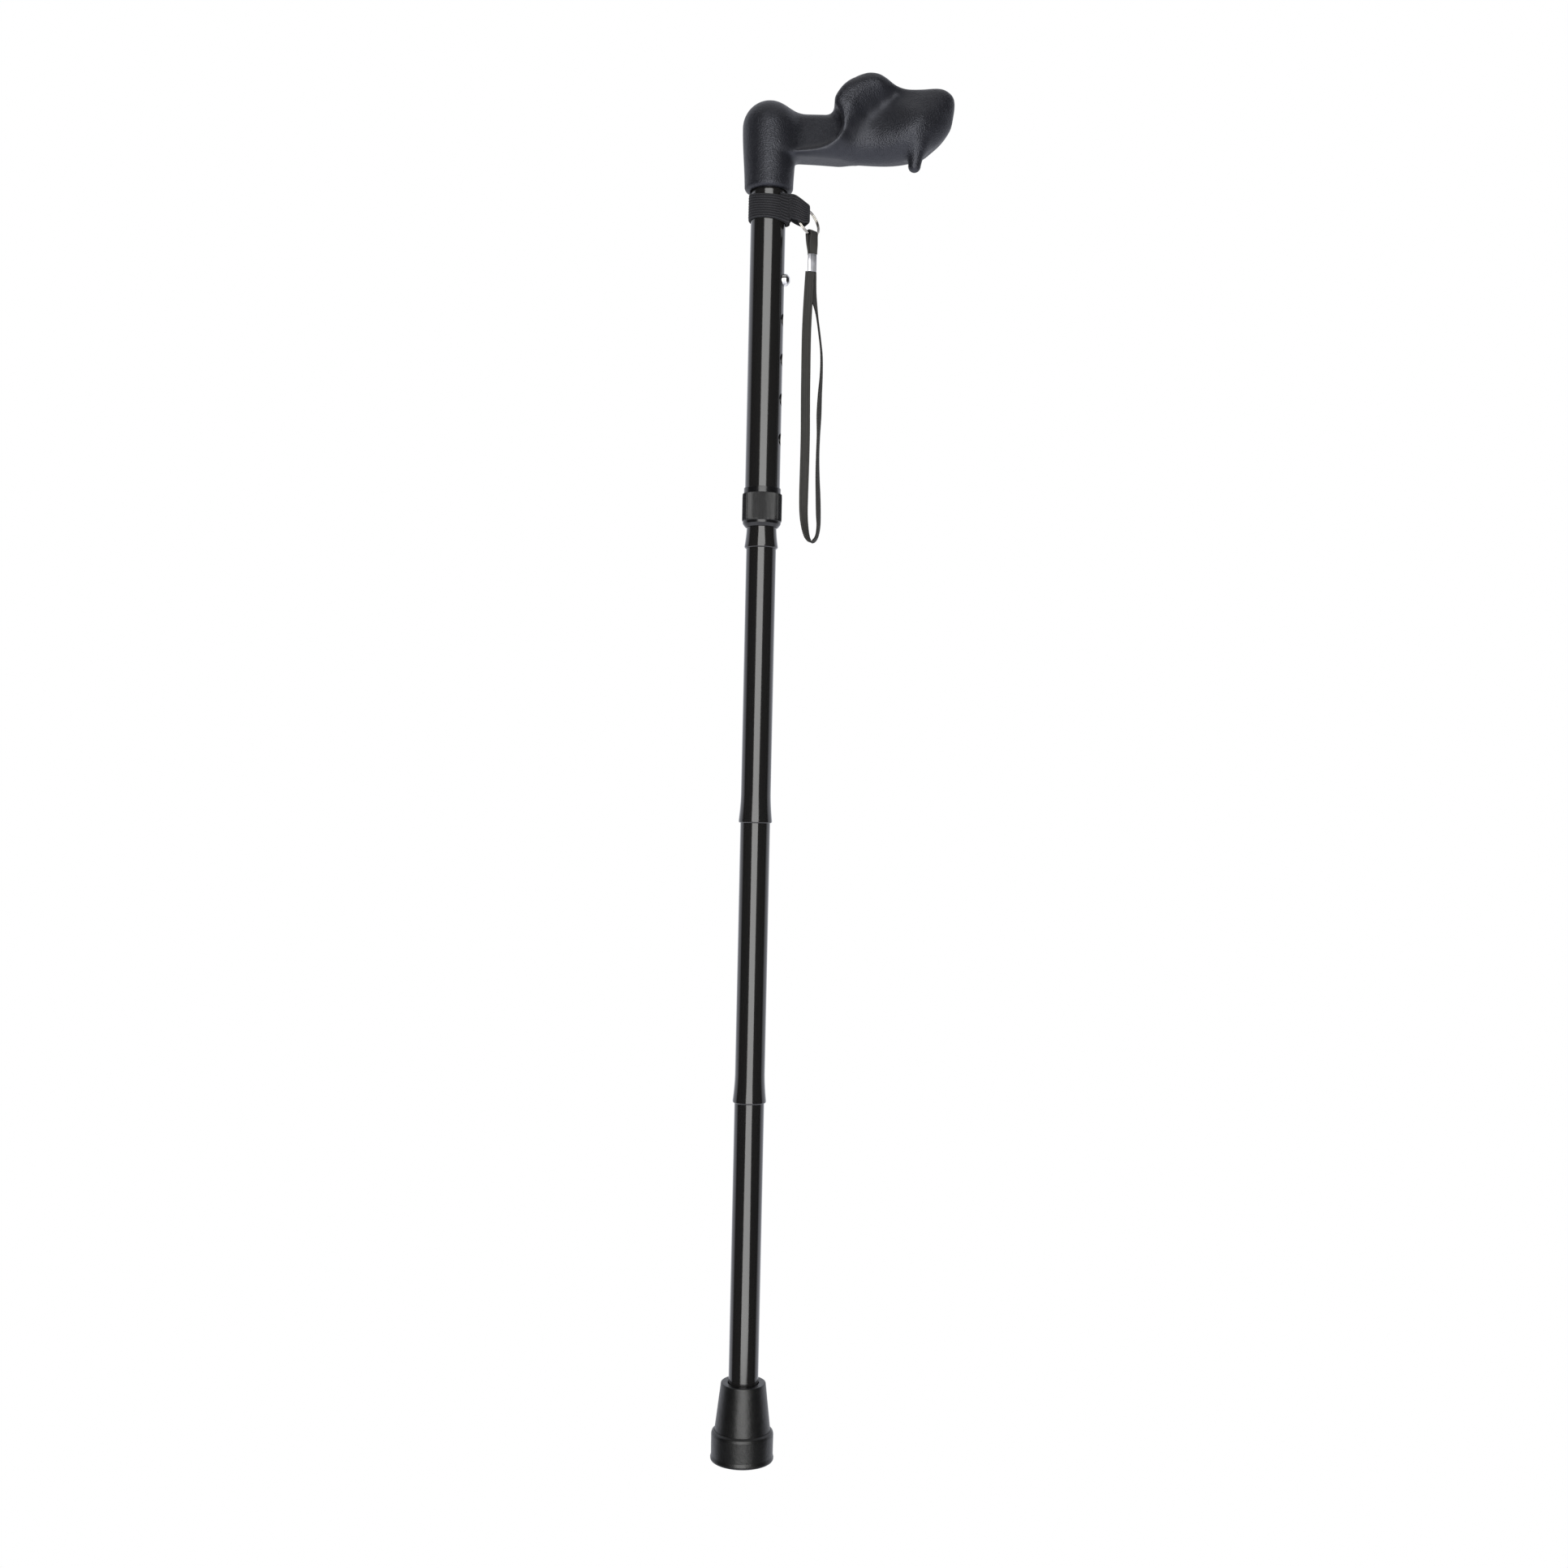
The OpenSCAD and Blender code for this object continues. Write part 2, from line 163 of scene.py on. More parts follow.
def rounded(corners, closed=True, steps=5):
    """Points of a line through (r, z, fillet radius) corners, with each corner rounded."""
    line = []
    count = len(corners)
    for i, (r, z, fillet) in enumerate(corners):
        here = np.array((r, z), float)
        if fillet <= 0 or (not closed and i in (0, count - 1)):
            line.append(here)
            continue
        before = np.array(corners[i - 1][:2], float) - here
        after = np.array(corners[(i + 1) % count][:2], float) - here
        a, b = before / np.linalg.norm(before), after / np.linalg.norm(after)
        half = math.acos(max(-1, min(1, float(a @ b)))) / 2
        reach = min(fillet / math.tan(half), 0.49 * np.linalg.norm(before), 0.49 * np.linalg.norm(after))
        size = reach * math.tan(half)
        middle = here + (a + b) / np.linalg.norm(a + b) * size / math.sin(half)
        start, end = here + a * reach - middle, here + b * reach - middle
        turn = math.atan2(start[0] * end[1] - start[1] * end[0], float(start @ end))
        for k in range(steps + 1):
            t = turn * k / steps
            line.append(middle + (start[0] * math.cos(t) - start[1] * math.sin(t),
                                  start[0] * math.sin(t) + start[1] * math.cos(t)))
    return line


def lathe(name, profile, columns, closed=True, shape=None):
    """Turns an (r, z) profile about the cane's axis. shape(radii, heights) may change the radii.
    The profile goes up on the outside, so that the faces look outwards."""
    line = np.array(profile, float)
    angles = np.arange(columns) * TAU / columns
    radii = np.repeat(line[:, 0][:, None], columns, 1)
    heights = np.repeat(line[:, 1][:, None], columns, 1)
    if shape:
        radii = shape(radii, heights)
    points = np.stack([radii * np.cos(angles), radii * np.sin(angles), heights], -1).reshape(-1, 3)
    return mesh_object(name, points, grid_faces(len(line), columns, close_rows=closed))


def lathe_piece(name, node, body, slot, profile, columns, sharp_degrees=None, **how):
    """A lathe that stands for a CAD node, with its edges split where they are sharp."""
    piece = lathe(name, profile, columns, **how)
    tidy_normals(piece, sharp_degrees)
    return place_piece(piece, body, slot, node)


def turned(points, angle):
    """Points turned about the Z axis."""
    c, s = math.cos(angle), math.sin(angle)
    x, y, z = points.T
    return np.stack([x * c - y * s, x * s + y * c, z], 1)


def catmull(points, count):
    """count points on a smooth curve through the given ones, evenly spaced in the parameter."""
    p = np.array(points, float)
    last = len(p) - 1
    s = np.linspace(0, last, count)
    i = np.minimum(s.astype(int), last - 1)
    t = (s - i)[:, None]
    p0, p1, p2, p3 = p[np.maximum(i - 1, 0)], p[i], p[i + 1], p[np.minimum(i + 2, last)]
    return (2 * p1 + (p2 - p0) * t + (2 * p0 - 5 * p1 + 4 * p2 - p3) * t**2
            + (3 * p1 - p0 - 3 * p2 + p3) * t**3) / 2


def evenly(points, count):
    """The same line with count points at even distances, and its length."""
    p = np.array(points, float)
    along = np.concatenate([[0], np.cumsum(np.linalg.norm(np.diff(p[:, :3], axis=0), axis=1))])
    s = np.linspace(0, along[-1], count)
    return np.stack([np.interp(s, along, p[:, k]) for k in range(p.shape[1])], 1), along[-1]


def swept(name, path, section, across):
    """Sweeps a closed section, (across, thick) points, along a path. across holds the width's
    direction at each path point. A section with a third axis changes from ring to ring."""
    path = np.array(path, float)
    along = np.gradient(path, axis=0)
    along /= np.linalg.norm(along, axis=1)[:, None]
    width = np.array(across, float)
    width = width - (width * along).sum(1)[:, None] * along
    width /= np.linalg.norm(width, axis=1)[:, None]
    thick = np.cross(along, width)
    section = np.array(section, float)
    if section.ndim == 2:
        section = np.repeat(section[None], len(path), 0)
    offset = section[:, :, :1] * width[:, None] + section[:, :, 1:] * thick[:, None]
    points = path[:, None] + offset
    rows, columns = section.shape[:2]
    return mesh_object(name, points.reshape(-1, 3), grid_faces(rows, columns) + end_caps(rows, columns))


def smoothstep(t):
    t = np.clip(t, 0, 1)
    return t * t * (3 - 2 * t)


# ---- materials ----

def add_node(tree, kind, inputs=None, **settings):
    """A shader node. An input is a value, or another node's output to link it to."""
    made = tree.nodes.new(kind)
    for key, value in settings.items():
        setattr(made, key, value)
    for key, value in (inputs or {}).items():
        if isinstance(value, bpy.types.NodeSocket):
            tree.links.new(value, made.inputs[key])
        else:
            made.inputs[key].default_value = value
    return made


class Look:
    """A Principled material and the nodes that feed it."""

    def __init__(self, name, **sockets):
        self.material = bpy.data.materials.new(name)
        self.material.use_nodes = True
        self.tree = self.material.node_tree
        self.shader = self.tree.nodes["Principled BSDF"]
        for key, value in sockets.items():
            self.shader.inputs[key.replace("_", " ")].default_value = value
        self.place = self.node("ShaderNodeTexCoord").outputs["Object"]

    def node(self, kind, inputs=None, **settings):
        return add_node(self.tree, kind, inputs, **settings)

    def voronoi(self, scale, vector=None, **settings):
        inputs = {"Vector": vector or self.place, "Scale": scale}
        return self.node("ShaderNodeTexVoronoi", inputs, **settings).outputs["Distance"]

    def attribute(self, name):
        return self.node("ShaderNodeAttribute", attribute_name=name).outputs["Fac"]

    def stretched(self, x, y, z):
        """The object's place with each axis scaled."""
        inputs = {"Vector": self.place, "Scale": (x, y, z)}
        return self.node("ShaderNodeMapping", inputs).outputs["Vector"]

    def noise(self, size, detail=3.0, roughness=0.5, vector=None):
        """Noise with features of about that size in metres."""
        inputs = {"Vector": vector or self.place, "Scale": 1 / size}
        inputs |= {"Detail": detail, "Roughness": roughness}
        return self.node("ShaderNodeTexNoise", inputs).outputs["Fac"]

    def math(self, operation, a, b):
        return self.node("ShaderNodeMath", {0: a, 1: b}, operation=operation).outputs[0]

    def ramp(self, factor, *stops):
        """Colours or greys along a factor: (place, value) pairs."""
        made = self.node("ShaderNodeValToRGB", {"Fac": factor})
        while len(made.color_ramp.elements) < len(stops):
            made.color_ramp.elements.new(1.0)
        for element, (place, value) in zip(made.color_ramp.elements, stops):
            element.position = place
            element.color = (*value, 1) if isinstance(value, tuple) else (value, value, value, 1)
        return made.outputs["Color"]

    def colour(self, factor, *stops):
        self.tree.links.new(self.ramp(factor, *stops), self.shader.inputs["Base Color"])

    def roughness(self, factor, least, most):
        inputs = {"Value": factor, "To Min": least, "To Max": most}
        spread = self.node("ShaderNodeMapRange", inputs)
        self.tree.links.new(spread.outputs["Result"], self.shader.inputs["Roughness"])

    def bump(self, height, depth, strength=1.0):
        """Relief of that depth in metres where height goes from 0 to 1, on top of any before."""
        inputs = {"Height": height, "Distance": depth, "Strength": strength}
        if self.shader.inputs["Normal"].is_linked:
            inputs["Normal"] = self.shader.inputs["Normal"].links[0].from_socket
        made = self.node("ShaderNodeBump", inputs)
        self.tree.links.new(made.outputs["Normal"], self.shader.inputs["Normal"])


def grip_look():
    """Moulded plastic with a pebbled leather grain, which the mesh's grain attribute thins out."""
    look = Look("grip_plastic_leather_grain", Specular_IOR_Level=0.5, Specular_Tint=(0.88, 0.9, 1, 1))
    grain = look.attribute("grain")
    pebbles = look.voronoi(1450.0, feature="SMOOTH_F1")
    fine = look.noise(0.0004, 3, 0.6)
    look.colour(look.noise(0.004, 2), (0.3, (0.0085, 0.0088, 0.0115)), (0.7, (0.0125, 0.0128, 0.016)))
    look.roughness(fine, 0.36, 0.5)
    look.bump(pebbles, 0.0003, look.math("MULTIPLY", grain, 0.95))
    look.bump(fine, 0.00005, 0.6)
    look.bump(look.noise(0.009, 2), 0.0006, 0.3)
    return look.material


def tube_look():
    """Gloss black enamel on drawn tube, with faint orange peel and specks of dust."""
    look = Look("tube_gloss_black", Base_Color=(0.0112, 0.0108, 0.0106, 1), Specular_IOR_Level=0.5,
                Coat_Weight=0.35, Coat_Roughness=0.06)
    streaks = look.noise(0.006, 3, vector=look.stretched(1, 1, 0.08))
    look.roughness(streaks, 0.1, 0.17)
    look.bump(look.noise(0.0022, 2), 0.000012, 0.5)
    look.bump(look.ramp(look.voronoi(160.0), (0.0, 1.0), (0.035, 0.0)), 0.00004, 0.7)
    return look.material


def moulded_look(name, patches, dark, light, gloss, rough, relief, depth, strength, **sockets):
    """Plain moulded stuff: patches of two colours, uneven gloss and a fine relief. patches, gloss
    and relief are the sizes of the noises, or (size, detail)."""
    look = Look(name, **sockets)
    look.colour(look.noise(patches), (0.3, dark), (0.7, light))
    look.roughness(look.noise(*gloss), *rough)
    look.bump(look.noise(relief), depth, strength)
    return look.material


def collar_look():
    return moulded_look("collar_moulded_plastic", 0.003, (0.005, 0.005, 0.0054), (0.009, 0.009, 0.0097),
                        (0.0012, 4), (0.14, 0.27), 0.0006, 0.00002, 0.5, Specular_IOR_Level=0.5)


def nylon_look():
    return moulded_look("white_nylon", 0.004, (0.66, 0.65, 0.6), (0.75, 0.74, 0.7),
                        (0.001,), (0.4, 0.55), 0.0004, 0.00002, 0.4, Subsurface_Weight=0.05)


def seal_look():
    return moulded_look("soft_seal", 0.002, (0.03, 0.03, 0.032), (0.045, 0.045, 0.047),
                        (0.001,), (0.6, 0.75), 0.0005, 0.00003, 0.5)


def steel_look(name, colour, rough, brushed=(1, 1, 1)):
    """Plated or brushed steel with fine wear."""
    look = Look(name, Metallic=1.0)
    grain = look.noise(0.0012, 4, 0.6, look.stretched(*brushed))
    dark = tuple(0.82 * c for c in colour)
    look.colour(grain, (0.3, dark), (0.65, colour))
    look.roughness(grain, rough * 0.7, rough * 1.5)
    look.bump(grain, 0.00001, 0.5)
    return look.material


def elastic_look():
    """Cloth-covered elastic: two sets of yarns wound in opposite ways."""
    look = Look("elastic_cord")
    inputs = {"Vector": look.place, "Scale": 260.0, "Distortion": 1.0}
    wave = look.node("ShaderNodeTexWave", inputs, bands_direction="DIAGONAL").outputs["Fac"]
    look.colour(wave, (0.2, (0.008, 0.008, 0.01)), (0.8, (0.035, 0.035, 0.04)))
    look.roughness(wave, 0.7, 0.85)
    look.bump(wave, 0.0002, 0.8)
    return look.material


def rubber_look():
    """Matt moulded rubber with bloom, specks and small pits."""
    look = Look("ferrule_rubber", Specular_IOR_Level=0.5)
    bloom = look.noise(0.007, 5, 0.62)
    look.colour(bloom, (0.3, (0.0035, 0.0036, 0.0037)), (0.62, (0.0065, 0.0065, 0.0064)),
                (0.8, (0.012, 0.0117, 0.0112)))
    look.roughness(look.noise(0.0025, 5, 0.7), 0.27, 0.43)
    look.bump(look.noise(0.0009, 4, 0.7), 0.00014, 0.65)
    look.bump(look.noise(0.005, 4, 0.6), 0.00045, 0.4)
    look.bump(look.ramp(look.voronoi(210.0), (0.0, 1.0), (0.055, 0.0)), 0.00018, 0.8)
    pits = look.voronoi(120.0, look.stretched(0.6, 0.6, 1.4))
    look.bump(look.ramp(pits, (0.0, 0.0), (0.05, 1.0)), 0.00022, 0.8)
    return look.material


def woven_look(name, specular, relief, weights, rough, *colours):
    """Woven stuff. Its yarns are in the mesh; the colour is painted darker where the yarns lie low and
    between them, as painted shade, with a random tone for the fibres on top.
    """
    look = Look(name, Specular_IOR_Level=specular, Sheen_Weight=0.04, Sheen_Roughness=0.4)
    fuzz = look.noise(0.00035, 4, 0.7)
    # painted shade: the yarn height darkens the colour in the hollows of the weave
    yarns = look.math("MULTIPLY", look.attribute("yarn"), weights[0])
    fibres = look.math("MULTIPLY", fuzz, weights[1])
    look.colour(look.math("ADD", yarns, fibres), *colours)
    look.roughness(fuzz, *rough)
    look.bump(fuzz, relief, 0.6)
    return look.material


def webbing_look():
    return woven_look("webbing_polyester", 0.16, 0.00008, (0.7, 0.4), (0.62, 0.85),
                      (0.25, (0.003, 0.003, 0.0035)), (0.62, (0.019, 0.019, 0.0215)),
                      (0.95, (0.052, 0.052, 0.057)))


def braid_look():
    return woven_look("strap_braid", 0.2, 0.00008, (0.75, 0.4), (0.6, 0.85),
                      (0.25, (0.002, 0.002, 0.002)), (0.6, (0.022, 0.0215, 0.0205)),
                      (1.0, (0.075, 0.072, 0.066)))


LOOKS = {
    "grip_plastic": grip_look(),
    "black_tube": tube_look(),
    "collar_plastic": collar_look(),
    "white_nylon": nylon_look(),
    "soft_seal": seal_look(),
    "spring_steel": steel_look("spring_steel_strip", (0.42, 0.42, 0.44), 0.3, (1, 1, 0.1)),
    "button_steel": steel_look("button_polished_steel", (0.7, 0.69, 0.69), 0.17),
    "bare_aluminium": steel_look("turned_aluminium", (0.68, 0.69, 0.71), 0.3, (0.2, 0.2, 3)),
    "elastic_cord": elastic_look(),
    "black_rubber": rubber_look(),
    "black_webbing": webbing_look(),
    "ring_steel": steel_look("ring_nickel_plate", (0.66, 0.63, 0.58), 0.13),
    "crimp_steel": steel_look("crimp_bright_plate", (0.66, 0.66, 0.7), 0.32, (1, 1, 0.3)),
    "black_braid": braid_look(),
}


# ---- wrist strap: the free cord comes first ----

STRAP_WIDTH = 6
STRAP_THICK = 1.4
STRAP_EXIT = np.array([28, -0.6, 781.7])
RING_SIDE = math.radians(49)

# Route of the hanging loop: x, y, z, and the turn of its width from X towards Y in degrees
STRAP_ROUTE = [
    (27.4, -1.2, 758, 0), (26.8, -1.2, 745, 0), (26.3, -1.2, 732, 4), (26, -1.2, 719, 6),
    (26, -1, 706, 4), (26.1, -1, 693, 0), (26.2, -1, 680, -4), (26.4, -1, 667, -4), (26.6, -1, 654, 0),
    (26.6, -1, 641, 4), (26.5, -1, 628, 6), (26.4, -1, 615, 12), (26.6, -0.8, 604, 24),
    (27.6, -0.5, 595, 40), (29.4, -0.2, 588.5, 56), (32.2, 0, 586, 68), (35, 0.2, 588.8, 76),
    (36.2, 0.4, 595.5, 72), (36, 0.6, 604, 64), (35.6, 0.6, 615, 64), (35, 0.6, 628, 70),
    (34.8, 0.6, 641, 76), (35, 0.6, 654, 76), (35.1, 0.6, 667, 64), (35.4, 0.6, 680, 70),
    (36, 0.6, 693, 80), (35.8, 0.6, 706, 84), (34.2, 0.6, 719, 88), (32.2, 1.2, 732, 80),
    (29.6, 2.4, 745, 40), (28.6, 0.9, 758, 8),
]


def braid_section(path_length, count, narrow=1.0):
    """Rings of a flat braid: rounded edges, and a herringbone of yarns raised on both faces.
    Returns the sections and how high each point stands on its yarn, from 0 to 1; that height, lowest in the
    grooves between the columns, is painted shade in the colour."""
    face = np.linspace(-1, 1, 22)
    u = np.concatenate([face, face[-2:0:-1]])
    v = np.sqrt(np.clip(1 - np.abs(u) ** 7, 0, 1)) * np.where(np.arange(len(u)) < len(face), 1, -1)
    along = np.linspace(0, path_length, count)[:, None]
    scale = narrow * np.ones(count)
    column_width = STRAP_WIDTH / 4
    yarn_pitch, rise, far_side_shift = 1.15, 1.5, 0.4
    across = u[None] * STRAP_WIDTH / 2
    zigzag = np.abs((across / column_width + 8) % 2 - 1)
    phase = (along + zigzag * rise + (v[None] < 0) * far_side_shift) / yarn_pitch
    yarn = np.abs(np.sin(math.pi * phase)) ** 0.7
    # groove lowers the height at the column edges, which the colour turns into painted shade in the grooves
    groove = 1 - 0.55 * np.exp(-((np.abs(zigzag - 0.5) - 0.5) / 0.1) ** 2)
    height = yarn * groove
    lift = 0.2 * (height - 0.6)
    widths = across * scale[:, None] + lift * 0.5 * u[None]
    depths = v[None] * (STRAP_THICK / 2 - 0.08) + lift * np.sign(v)[None]
    return np.stack([widths, depths], -1), height


def turned_width(turn):
    """The direction of a strap's width, turned from X towards Y, at each point of its path."""
    return np.stack([np.cos(turn), np.sin(turn), 0 * turn], 1)


def yarn_attribute(piece, height):
    """Stores how high each point stands on its yarn, for the material, which paints the low points dark as
    painted shade.
    """
    layer = piece.data.attributes.new("yarn", "FLOAT", "POINT")
    layer.data.foreach_set("value", height.astype(np.float32).ravel())


def wrist_strap():
    """The loop of flat braid, from the crimp down, round and back up to it."""
    route, length = evenly(catmull(STRAP_ROUTE, 2400), 1900)
    path = route[:, :3]
    section, height = braid_section(length, len(path))
    strap = swept("wrist_strap_braid", path, section, turned_width(np.radians(route[:, 3])))
    yarn_attribute(strap, height)
    place_piece(strap, "strap", "black_braid", "wrist_strap")
    return strap, path * MM, length * MM


def strap_head():
    """The short fold of the same braid over the split ring, down into the crimp."""
    thick_way = np.array([math.sin(RING_SIDE), -math.cos(RING_SIDE), 0])
    side = [(0.75, -12.6), (0.9, -9), (1.3, -5), (1.75, -1.8), (1.95, 0.3), (1.45, 1.6)]
    plan = side + [(0, 2.15)] + [(-x, z) for x, z in side[::-1]]
    line, length = evenly(catmull(plan, 400), 260)
    drop = -line[:, 1] / 12.6
    middle = STRAP_EXIT + np.outer(smoothstep(drop), [0.7, -0.1, 0])
    path = middle + line[:, :1] * thick_way + np.outer(line[:, 1], [0, 0, 1])
    across = turned_width(RING_SIDE * (1 - smoothstep(drop * 1.1)))
    narrow = 1.2 - 0.36 * smoothstep(drop * 1.05)
    section, height = braid_section(length, len(path), narrow)
    head = swept("strap_head_fold", path, section, across)
    yarn_attribute(head, height)
    return place_piece(head, "strap", "black_braid", "strap_head")


def strap_crimp():
    """The bent strip of bright plate round the strap, open at the back."""
    lower, upper = box("strap_crimp")
    cx, cy, _ = (lower + upper) / 2
    plan = [(-0.5, 1.9, 0), (-2.1, 1.9, 0.5), (-2.6, 0.9, 0.5), (-2.6, -1.9, 0.35), (-1.25, -1.98, 0.2),
            (2.5, -0.85, 0.5), (2.55, 1.2, 0.5), (1.9, 1.9, 0.5), (0.3, 2.05, 0)]
    line = np.array(rounded(plan, closed=False, steps=6)) + (cx, cy)
    along = np.gradient(line, axis=0)
    along /= np.linalg.norm(along, axis=1)[:, None]
    outward = np.stack([-along[:, 1], along[:, 0]], 1)
    if (outward * (line - line.mean(0))).sum() < 0:
        outward = -outward
    sheet, bevel = 0.42, 0.12
    loop = np.concatenate([line + outward * sheet / 2, (line - outward * sheet / 2)[::-1]])
    bottom, top = lower.z, upper.z
    rows = [(bottom, 0.8), (bottom + bevel, 1.0), ((bottom + top) / 2, 0.985), (top - bevel, 1.0), (top, 0.8)]
    centreline = np.concatenate([line, line[::-1]])
    points = [(x, y, z) for z, grow in rows for x, y in centreline + (loop - centreline) * grow]
    columns = len(loop)
    faces = grid_faces(len(rows), columns)
    for base in (0, (len(rows) - 1) * columns):
        for i in range(len(line) - 1):
            faces.append((base + i, base + i + 1, base + columns - 2 - i, base + columns - 1 - i))
    crimp = mesh_object("crimp_clip", points, faces)
    tidy_normals(crimp)
    return place_piece(crimp, "strap", "crimp_steel", "strap_crimp")


strap, strap_path, strap_length = wrist_strap()
head = strap_head()
crimp = strap_crimp()


# ---- tubes ----

WALL = 1.2
LIP = 1.2
HOLE_AZIMUTH = math.radians(-10)


def hole_tube(name, outside, inside, hole_heights, hole_r):
    """A tube with round holes on one side. outside goes up in (r, z), inside comes down. Around each
    hole a square patch of the grid becomes rings that close in on the hole's edge."""
    columns, cells = 128, 16
    step = TAU / columns
    wall_r = outside[-1][0]
    half_patch = cells / 2 * step * wall_r
    rows_here = [z - half_patch + 2 * half_patch * i / cells for z in hole_heights for i in range(cells + 1)]
    up = sorted([(z, r) for r, z in outside] + [(z, wall_r) for z in rows_here])
    bore_r = inside[0][0]
    down = sorted([(z, r) for r, z in inside] + [(z, bore_r) for z in rows_here], reverse=True)
    line = [(r, z) for z, r in up + down]
    heights = [z for r, z in line]
    angles = (np.arange(columns) - cells / 2) * step + HOLE_AZIMUTH
    points = [(r * math.cos(a), r * math.sin(a), z) for r, z in line for a in angles]
    patches = {}
    for row, z in enumerate(heights):
        outer = row < len(up)
        for height in hole_heights:
            if abs(z + (half_patch if outer else -half_patch) - height) < 1e-6:
                patches[height, outer] = row
    faces = [face for i, face in enumerate(grid_faces(len(line), columns, close_rows=True))
             if i % columns >= cells or not any(0 <= i // columns - q < cells for q in patches.values())]
    for (height, outer), first in patches.items():
        last = first + cells
        r_here = line[first][0]
        border = [(first, c) for c in range(cells)] + [(q, cells) for q in range(first, last)]
        border += [(last, c) for c in range(cells, 0, -1)] + [(q, 0) for q in range(last, first, -1)]
        previous = [q * columns + c for q, c in border]
        flat = [((c - cells / 2) * step * r_here, heights[q] - height) for q, c in border]
        for blend in (0.35, 0.62, 0.82, 0.94, 1.0):
            ring = []
            for s, h in flat:
                turn = math.atan2(h, s * wall_r / r_here)
                y, z = hole_r * math.cos(turn), hole_r * math.sin(turn)
                edge_s = r_here * math.asin(y / r_here)
                s_now, h_now = s + (edge_s - s) * blend, h + (z - h) * blend
                sink = 0.12 * smoothstep((blend - 0.9) / 0.1) * (-1 if outer else 1)
                a = s_now / r_here + HOLE_AZIMUTH
                ring.append(len(points))
                points.append(((r_here + sink) * math.cos(a), (r_here + sink) * math.sin(a), height + h_now))
            faces += zip(previous, previous[1:] + previous[:1], ring[1:] + ring[:1], ring)
            previous = ring
        patches[height, outer] = previous
    # The inner rings run the other way round, and are joined one point on from the outer ones
    start = 3 * cells - 1
    for height in hole_heights:
        near, far = patches[height, True], patches[height, False]
        far = far[start::-1] + far[:start:-1]
        faces += zip(near, near[1:] + near[:1], far[1:] + far[:1], far)
    tube = mesh_object(name, points, faces)
    tidy_normals(tube, 38)
    return tube


def long_rows(bottom, top, spacing=40):
    """Heights between two ends, so that a long tube has rows that shade evenly up to its ends."""
    count = max(2, int((top - bottom) / spacing))
    return [bottom + 0.5] + [bottom + (top - bottom) * i / count for i in range(1, count)] + [top - 0.5]


def upper_tube():
    """The outermost tube, with the row of adjusting holes."""
    r, bottom, top = radius("upper_tube"), low("upper_tube"), high("upper_tube")
    pitch, count, hole_r, edge = 25.4, 5, 3.9, 0.2
    outside = [(r - edge, bottom), (r, bottom + edge), (r, bottom + 8), (r, top - edge), (r, top)]
    inside = [(r - WALL, top), (r - WALL, bottom)]
    holes = [button_height() - i * pitch for i in range(count)]
    tube = hole_tube("upper_tube_enamelled", outside, inside, holes, hole_r)
    place_piece(tube, "grip_and_upper_tube", "black_tube", "upper_tube")


def bell_profile(r, bottom, top, bell_r, length):
    """Outline of a tube whose lower end flares out to a rolled lip, going up the outside."""
    steps = 14
    flare_low = bottom + LIP
    inner = r + 0.09
    line = [(inner, bottom + 0.25), (inner + 0.12, bottom + 0.05), (inner + 0.3, bottom)]
    line += [(bell_r - 0.62, bottom + 0.05), (bell_r - 0.34, bottom + 0.2), (bell_r - 0.12, bottom + 0.5),
             (bell_r - 0.01, bottom + 0.9)]
    for i in range(steps + 1):
        t = i / steps
        line.append((r + (bell_r - r) * (1 - t) ** 1.7, flare_low + length * t))
    line += [(r, z) for z in long_rows(flare_low + length, top - 0.3)]
    line += [(r, top - 0.2), (r - 0.2, top), (r - WALL + 0.1, top), (r - WALL, top - 0.1)]
    line += [(r - WALL, flare_low + length), (inner, bottom + 4.6)]
    return line


def section_tubes():
    """The extension tube and the three sections below it."""
    r, bell_r = radius("section_4_tube"), radius("section_2_tube")
    bottom, top, edge = low("section_4_tube"), high("section_4_tube"), 0.25
    lowest = [(r - edge, bottom), (r, bottom + edge)] + [(r, z) for z in long_rows(bottom, top)]
    lowest += [(r, top - edge), (r - edge, top), (r - WALL, top), (r - WALL, bottom)]
    profiles = {"extension": bell_profile(r, low("extension_tube"), high("extension_tube"), bell_r, 12.5)}
    for body in ("section_2", "section_3"):
        profiles[body] = bell_profile(r, low(body + "_tube"), high(body + "_tube"), bell_r, 17.6)
    profiles["section_4"] = lowest
    for body, profile in profiles.items():
        node = body + "_tube"
        lathe_piece(node + "_enamelled", node, body, "black_tube", profile, 144, 50)


upper_tube()
section_tubes()


# ---- lock collar, its sleeve and the button ----

